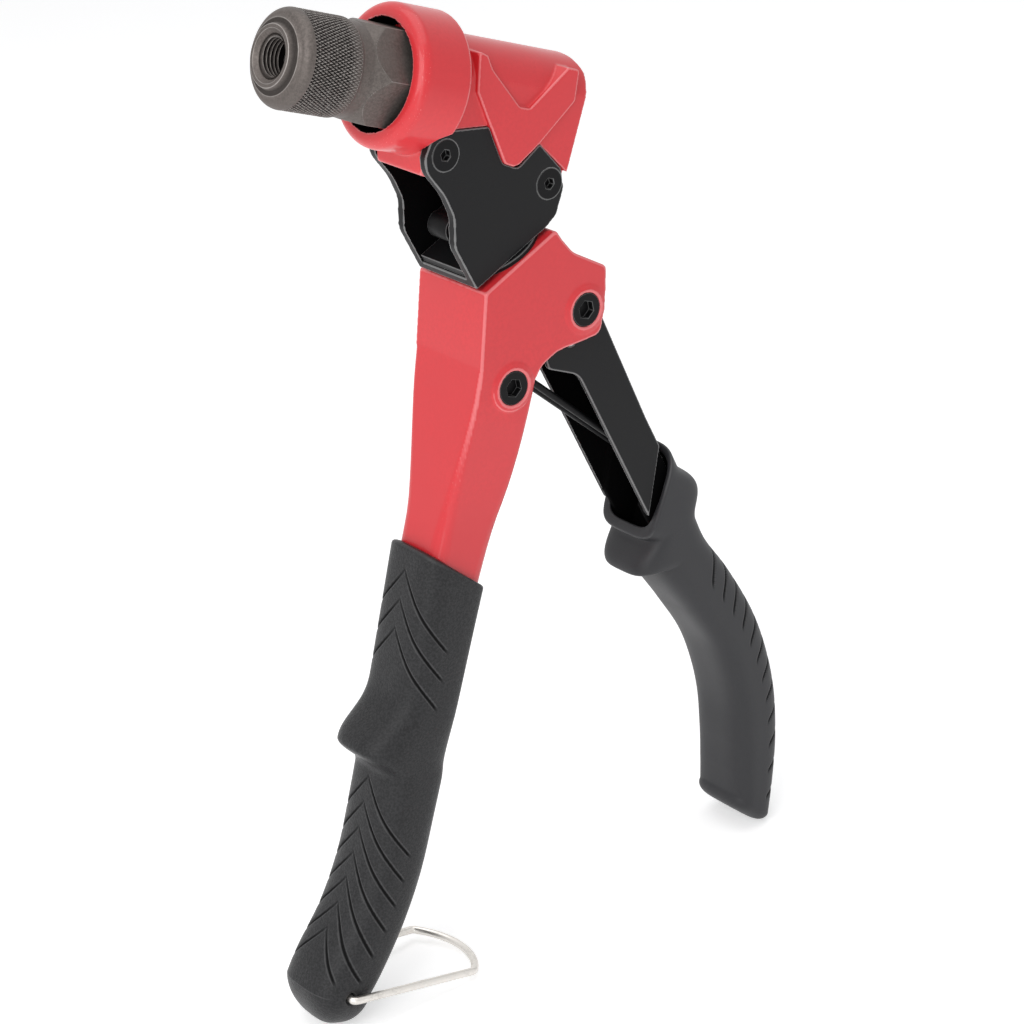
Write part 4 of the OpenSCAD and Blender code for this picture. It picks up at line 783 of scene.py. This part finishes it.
chevrons, knob, end = group("chevron_grooves", {
    "First": 141.0, "Pitch": 9.0, "Count": 3.0, "Reach": 21.0, "Slope": 1.35, "Bend": -0.0155,
    "Width": 0.5, "Depth": 0.55, "Soft Apex": 0.35, "Shorten": 0.0})
do = functools.partial(calc, chevrons)
drop, side = read(chevrons, "drop"), read(chevrons, "reach")
lead = do("MULTIPLY", side, do("MULTIPLY_ADD", side, knob["Bend"], knob["Slope"]))
past_first = do("SUBTRACT", do("SUBTRACT", drop, lead), knob["First"])
along = do("DIVIDE", past_first, knob["Pitch"])
last = do("SUBTRACT", knob["Count"], 1.0)
number = do("MAXIMUM", do("MINIMUM", do("ROUND", along), last), 0.0)
slant = do("MULTIPLY_ADD", do("MULTIPLY", side, 2.0), knob["Bend"], knob["Slope"])
lay = do("COSINE", do("ARCTANGENT", slant))
off = do("MULTIPLY", do("ABSOLUTE", do("SUBTRACT", along, number)),
         do("MULTIPLY", knob["Pitch"], lay))
cut = do("SUBTRACT", 1.0, do("SMOOTH_MIN", do("DIVIDE", off, knob["Width"]), 1.0, 0.35))
cut = do("MAXIMUM", do("MULTIPLY", cut, 1.1), 0.0)
ends_at = do("SUBTRACT", knob["Reach"], do("MULTIPLY", number, knob["Shorten"]))
tail = do("DIVIDE", do("SUBTRACT", ends_at, side), 2.0)
tail = do("MAXIMUM", do("MINIMUM", tail, 1.0), 0.0)
rise = do("DIVIDE", do("SUBTRACT", 1.0, knob["Soft Apex"]), 5.0)
apex = do("MINIMUM", do("MULTIPLY_ADD", side, rise, knob["Soft Apex"]), 1.0)
deep = do("MULTIPLY", do("MULTIPLY", cut, tail), do("MULTIPLY", apex, knob["Depth"]))
sink(chevrons, knob, end, deep)
for grooves in ({}, {"First": 205.8, "Pitch": 8.1, "Count": 6.0},
                {"First": 254.4, "Pitch": 8.1, "Count": 1.0, "Reach": 12.5}):
    run_nodes(fixed, chevrons, Finish=grip_rubber, Width=0.62, Depth=0.6, **grooves)
mark_edges(fixed, 0.8)
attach(fixed, "handle")
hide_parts("fixed_grip")


# Lever grip: moulded charcoal rubber, pushed on the lever's tang. Its mouth opens in a slanted
# lip, a guard keeps the fingers off the lever, and twelve fine grooves run round its back.
lever_rubber = finish("charcoal_rubber", (0.0185, 0.0185, 0.0208), (0.070, 0.070, 0.072), 0.0, 0.48,
                      (3200, 0.22, 0.6), (20, 0.15, 0.08), (0.45, 0.2), rough_worn=0.42,
                      mirror=0.4, deep=0.12, grain_tone_and_highlight=0.25)
LEVER_END, LEVER_CAP, GUARD_AT = 207.0, 4, 84.5
LEVER_SLANT = math.sqrt(0.5)
# Distance down the lever, middle of the grip behind its line, half depth, half width.
lever_table = [(58, -0.6, 10.1, 12.9), (76, -0.9, 10.1, 12.9), (91, -2.1, 9.5, 12.7),
               (105, -2.8, 9.9, 12.5), (122, -0.2, 10.1, 12.5), (141, 1.6, 9.7, 12.5),
               (156, 0.4, 9.6, 12.5), (171, -3.1, 9.5, 12.5), (186, -9.4, 9.4, 12.4),
               (198, -16, 9.4, 12.3), (210, -23.4, 9.4, 12.3)]
flat = oval(3.6, AROUND)


def lever_points(a, ahead=0.0, taper=1.0, inset=(0.0, 0.0)):
    """Section of the grip at each distance down the lever, one distance for each point."""
    middle = course(lever_table, 1, a)
    lean = course(lever_table, 1, a + 0.5) - course(lever_table, 1, a - 0.5)
    turn = np.arctan2(lean, 1.0) - np.radians(34) * np.maximum(0, a - 180) / (LEVER_END - 180)
    half, wide = course(lever_table, 2, a) * taper, course(lever_table, 3, a) * taper
    front = 8.6 * hump(a, 98.3, 8, 4, 0.6) + 4.8 * hump(a, GUARD_AT, 8, 7.5)
    back = 5.2 * hump(a, GUARD_AT, 11.5, 9.5)
    out = flat[0] * np.where(flat[0] > 0, half + back - inset[0], half + front - inset[1])
    down = a + ahead * np.cos(turn) - out * np.sin(turn)
    behind = middle + ahead * np.sin(turn) + out * np.cos(turn)
    return down, behind, (wide - inset[0]) * flat[1]


def lever_tool(down, behind, y):
    """Points on the lever, whose line falls back at 45 degrees from its pin."""
    return np.stack([LEVER_PIN[0] + (down + behind) * LEVER_SLANT, y,
                     LEVER_PIN[1] + (behind - down) * LEVER_SLANT], -1)


def mouth(inset, deep=0.0):
    """Distances at which the grip meets the slanted plane of its mouth, or deep mm below it."""
    a = np.full(AROUND, 76.0)
    for _ in range(30):
        down, behind, _y = lever_points(a, inset=inset)
        a = a + 0.5 * (57.5 - (behind - 19) * 30.5 / 34 + deep - down)
    return a


# How far in from the skin, behind and in front, and how deep in the mouth the lip runs.
lip = [lever_tool(*lever_points(mouth(inset, deep), inset=inset)) for inset, deep in (
    ((2.6, 5.2), 13.0), ((2.0, 4.9), 4.0), ((1.9, 4.8), 0.9), ((1.75, 4.5), 0.3),
    ((1.45, 4.0), 0.0), ((0.9, 1.3), 0.0), ((0.5, 0.7), 0.12), ((0.2, 0.28), 0.4),
    ((0.05, 0.06), 0.75))]
first = mouth((0.0, 0.0), 1.0)
level = np.arange(122.4, LEVER_END + 0.01, 0.4)
levels = np.concatenate([np.linspace(0, 1, 110)[:, None] * (122 - first) + first,
                         np.repeat(level[:, None], AROUND, axis=1)])
cap = [lever_tool(*lever_points(np.full(AROUND, LEVER_END), LEVER_CAP * math.sin(b),
                                max(math.cos(b), 0.02) ** 0.4))
       for b in np.radians(np.arange(4, 89, 4))]
rings = np.array(lip + [lever_tool(*lever_points(a)) for a in levels] + cap)
PAST_GROOVES = 230.0
drop = np.concatenate([np.zeros((len(lip), AROUND)), levels,
                       np.full((len(cap), AROUND), PAST_GROOVES)])
reach = np.roll(stretch(np.roll(rings, AROUND // 2, axis=1)), -(AROUND // 2), axis=1)
palm = skin("lever_grip_rubber", tool(rings), lever_rubber, (True, True))
outward(palm)
store(palm, drop=drop, reach=reach)
run_nodes(palm, chevrons, Finish=lever_rubber, First=107.5, Pitch=8.0, Count=12.0, Reach=20.0,
          Slope=0.05, Bend=0.028, Width=0.62, Depth=0.8, Shorten=0.4)
# Painted shade: the faces inside the mouth take the near-black finish.
in_mouth = np.zeros(len(palm.data.polygons), bool)
in_mouth[:2 * AROUND] = in_mouth[-2] = True
blacken(palm, in_mouth)
mark_edges(palm, 0.8)
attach(palm, "lever")
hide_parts("lever_grip")


# Springs: wound from round steel wire. The lever spring turns twice on each side of its pin and
# its long leg presses in the lever's channel, so it bends when the lever is squeezed. The
# return spring lies round the draw bar.
round_wire, knob, end = group("round_wire", {"Radius": 1.0})
trace = add(round_wire, "GeometryNodeMeshToCurve", {0: knob["Geometry"]})
profile = add(round_wire, "GeometryNodeCurvePrimitiveCircle",
              {"Resolution": 16, "Radius": knob["Radius"]})
sweep = add(round_wire, "GeometryNodeCurveToMesh",
            {"Curve": trace.outputs[0], "Profile Curve": profile.outputs[0], "Fill Caps": True})
close(round_wire, knob, end, sweep.outputs[0])


def bent_wire(name, path, radius, material, node):
    """Round wire along a path in tool millimetres."""
    mesh = bpy.data.meshes.new(name)
    mesh.from_pydata(tool(np.array(path)).tolist(), [(k, k + 1) for k in range(len(path) - 1)], [])
    piece = put(name, mesh)
    run_nodes(piece, round_wire, Radius=radius / 1000, Finish=material)
    outward(piece)
    piece.data.shade_smooth()
    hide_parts(node)
    return piece


def on_middle(point):
    """A point (x, z) of the middle plane, in the frame."""
    return tool([point[0], 0, point[1]]).tolist()


SPRING_PIN = np.array([96.4, -80.4])
COIL_R, COIL_PITCH, COIL_ANGLE = 6.2, 2.4, 774
LEG_Y, LEG_BEND, LEG_WIRE_R = 4.6, 3.0, 1.1
leg_tip = np.array(LEVER_PIN) + np.array([67.9, -64.1]) * LEVER_SLANT
to_tip = leg_tip - SPRING_PIN
leg_dir = math.atan2(to_tip[1], to_tip[0]) + math.asin(COIL_R / np.linalg.norm(to_tip))
leg_along = np.array([math.cos(leg_dir), math.sin(leg_dir)])
half_spring = []
for angle in np.arange(COIL_ANGLE, -1, -9):
    at = leg_dir + math.pi / 2 + math.radians(angle)
    half_spring.append((SPRING_PIN[0] + COIL_R * math.cos(at), LEG_Y + COIL_PITCH * angle / 360,
                        SPRING_PIN[1] + COIL_R * math.sin(at)))
leaves = np.array([half_spring[-1][0], half_spring[-1][2]])
bend_from = leg_tip - leg_along * LEG_BEND
for t in np.linspace(0.03, 0.97, 40):
    x, z = leaves + (bend_from - leaves) * t
    half_spring.append((x, LEG_Y, z))
for at in np.radians(np.arange(0, 91, 10)):
    x, z = bend_from + leg_along * LEG_BEND * math.sin(at)
    half_spring.append((x, LEG_Y - LEG_BEND + LEG_BEND * math.cos(at), z))
far_half = [(x, -y, z) for x, y, z in half_spring[::-1]]
lever_spring = bent_wire("lever_spring_wire", half_spring + far_half, LEG_WIRE_R, black_oxide,
                         "torsion_spring")
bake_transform(lever_spring, "handle", "lever", start=on_middle(SPRING_PIN + leg_along * 10),
         end=on_middle(leg_tip - leg_along * 8))

RETURN_TURNS, RETURN_START, RETURN_LONG, RETURN_R, RETURN_WIRE_R = 7, 45.6, 22.8, 6.15, 0.55
winding = np.linspace(0, 2 * math.pi * RETURN_TURNS, RETURN_TURNS * 24 + 1)
bar_spring = bent_wire("return_spring_wire", np.stack([
    RETURN_START + RETURN_LONG * winding / winding[-1], RETURN_R * np.sin(winding),
    RETURN_R * np.cos(winding)], -1), RETURN_WIRE_R, ground_steel, "return_spring")
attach(bar_spring, "head")
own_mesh(bar_spring)


# Wire bail: a loop of nickelled spring wire, bent with an arched end. Its two hooked ends snap
# into the holes in the sides of the fixed grip, on which it swings.
nickel = finish("nickel_wire", (0.74, 0.71, 0.67), (0.8, 0.78, 0.74), 1.0, 0.28,
                (1600, 0.10, 0.6), (140, -0.25, 0.18), (0.3, 0.5))
BAIL_LONG, ARC_DEEP, BAIL_HALF, BAIL_WIRE_R, BEND_R = 51.5, 7.0, 16.0, 1.25, 2.2
BAIL_RISE = math.radians(9.5)
ARC_R = (BAIL_HALF ** 2 + ARC_DEEP ** 2) / (2 * ARC_DEEP)
corners = [(0.0, 5.0), (0.0, 14.45), (BAIL_LONG - ARC_DEEP, BAIL_HALF)]
corners += [(BAIL_LONG - ARC_R + ARC_R * math.cos(a), ARC_R * math.sin(a))
            for a in np.radians(np.linspace(47.26, 0, 16))[1:]]
corners = np.array(corners + [(x, -y) for x, y in corners[-2::-1]])
loop = [corners[0]]
for before, here, after in zip(corners, corners[1:], corners[2:]):
    came, goes = here - before, after - here
    came_long, goes_long = np.linalg.norm(came), np.linalg.norm(goes)
    sharp = math.acos(np.clip(came @ goes / came_long / goes_long, -1, 1))
    room = BEND_R * math.tan(sharp / 2)
    if room < 0.3:
        loop.append(here)
        continue
    enters, exits = here - came / came_long * room, here + goes / goes_long * min(room, 1.2)
    loop += [(1 - t) ** 2 * enters + 2 * t * (1 - t) * here + t * t * exits
             for t in np.linspace(0, 1, 9)]
loop.append(corners[-1])
bail = bent_wire("bail_wire", [(BAIL_HOLE[0] + x * math.cos(BAIL_RISE), y,
                                BAIL_HOLE[1] + x * math.sin(BAIL_RISE)) for x, y in loop],
                 BAIL_WIRE_R, nickel, "wire_bail")
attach(bail, "bail")
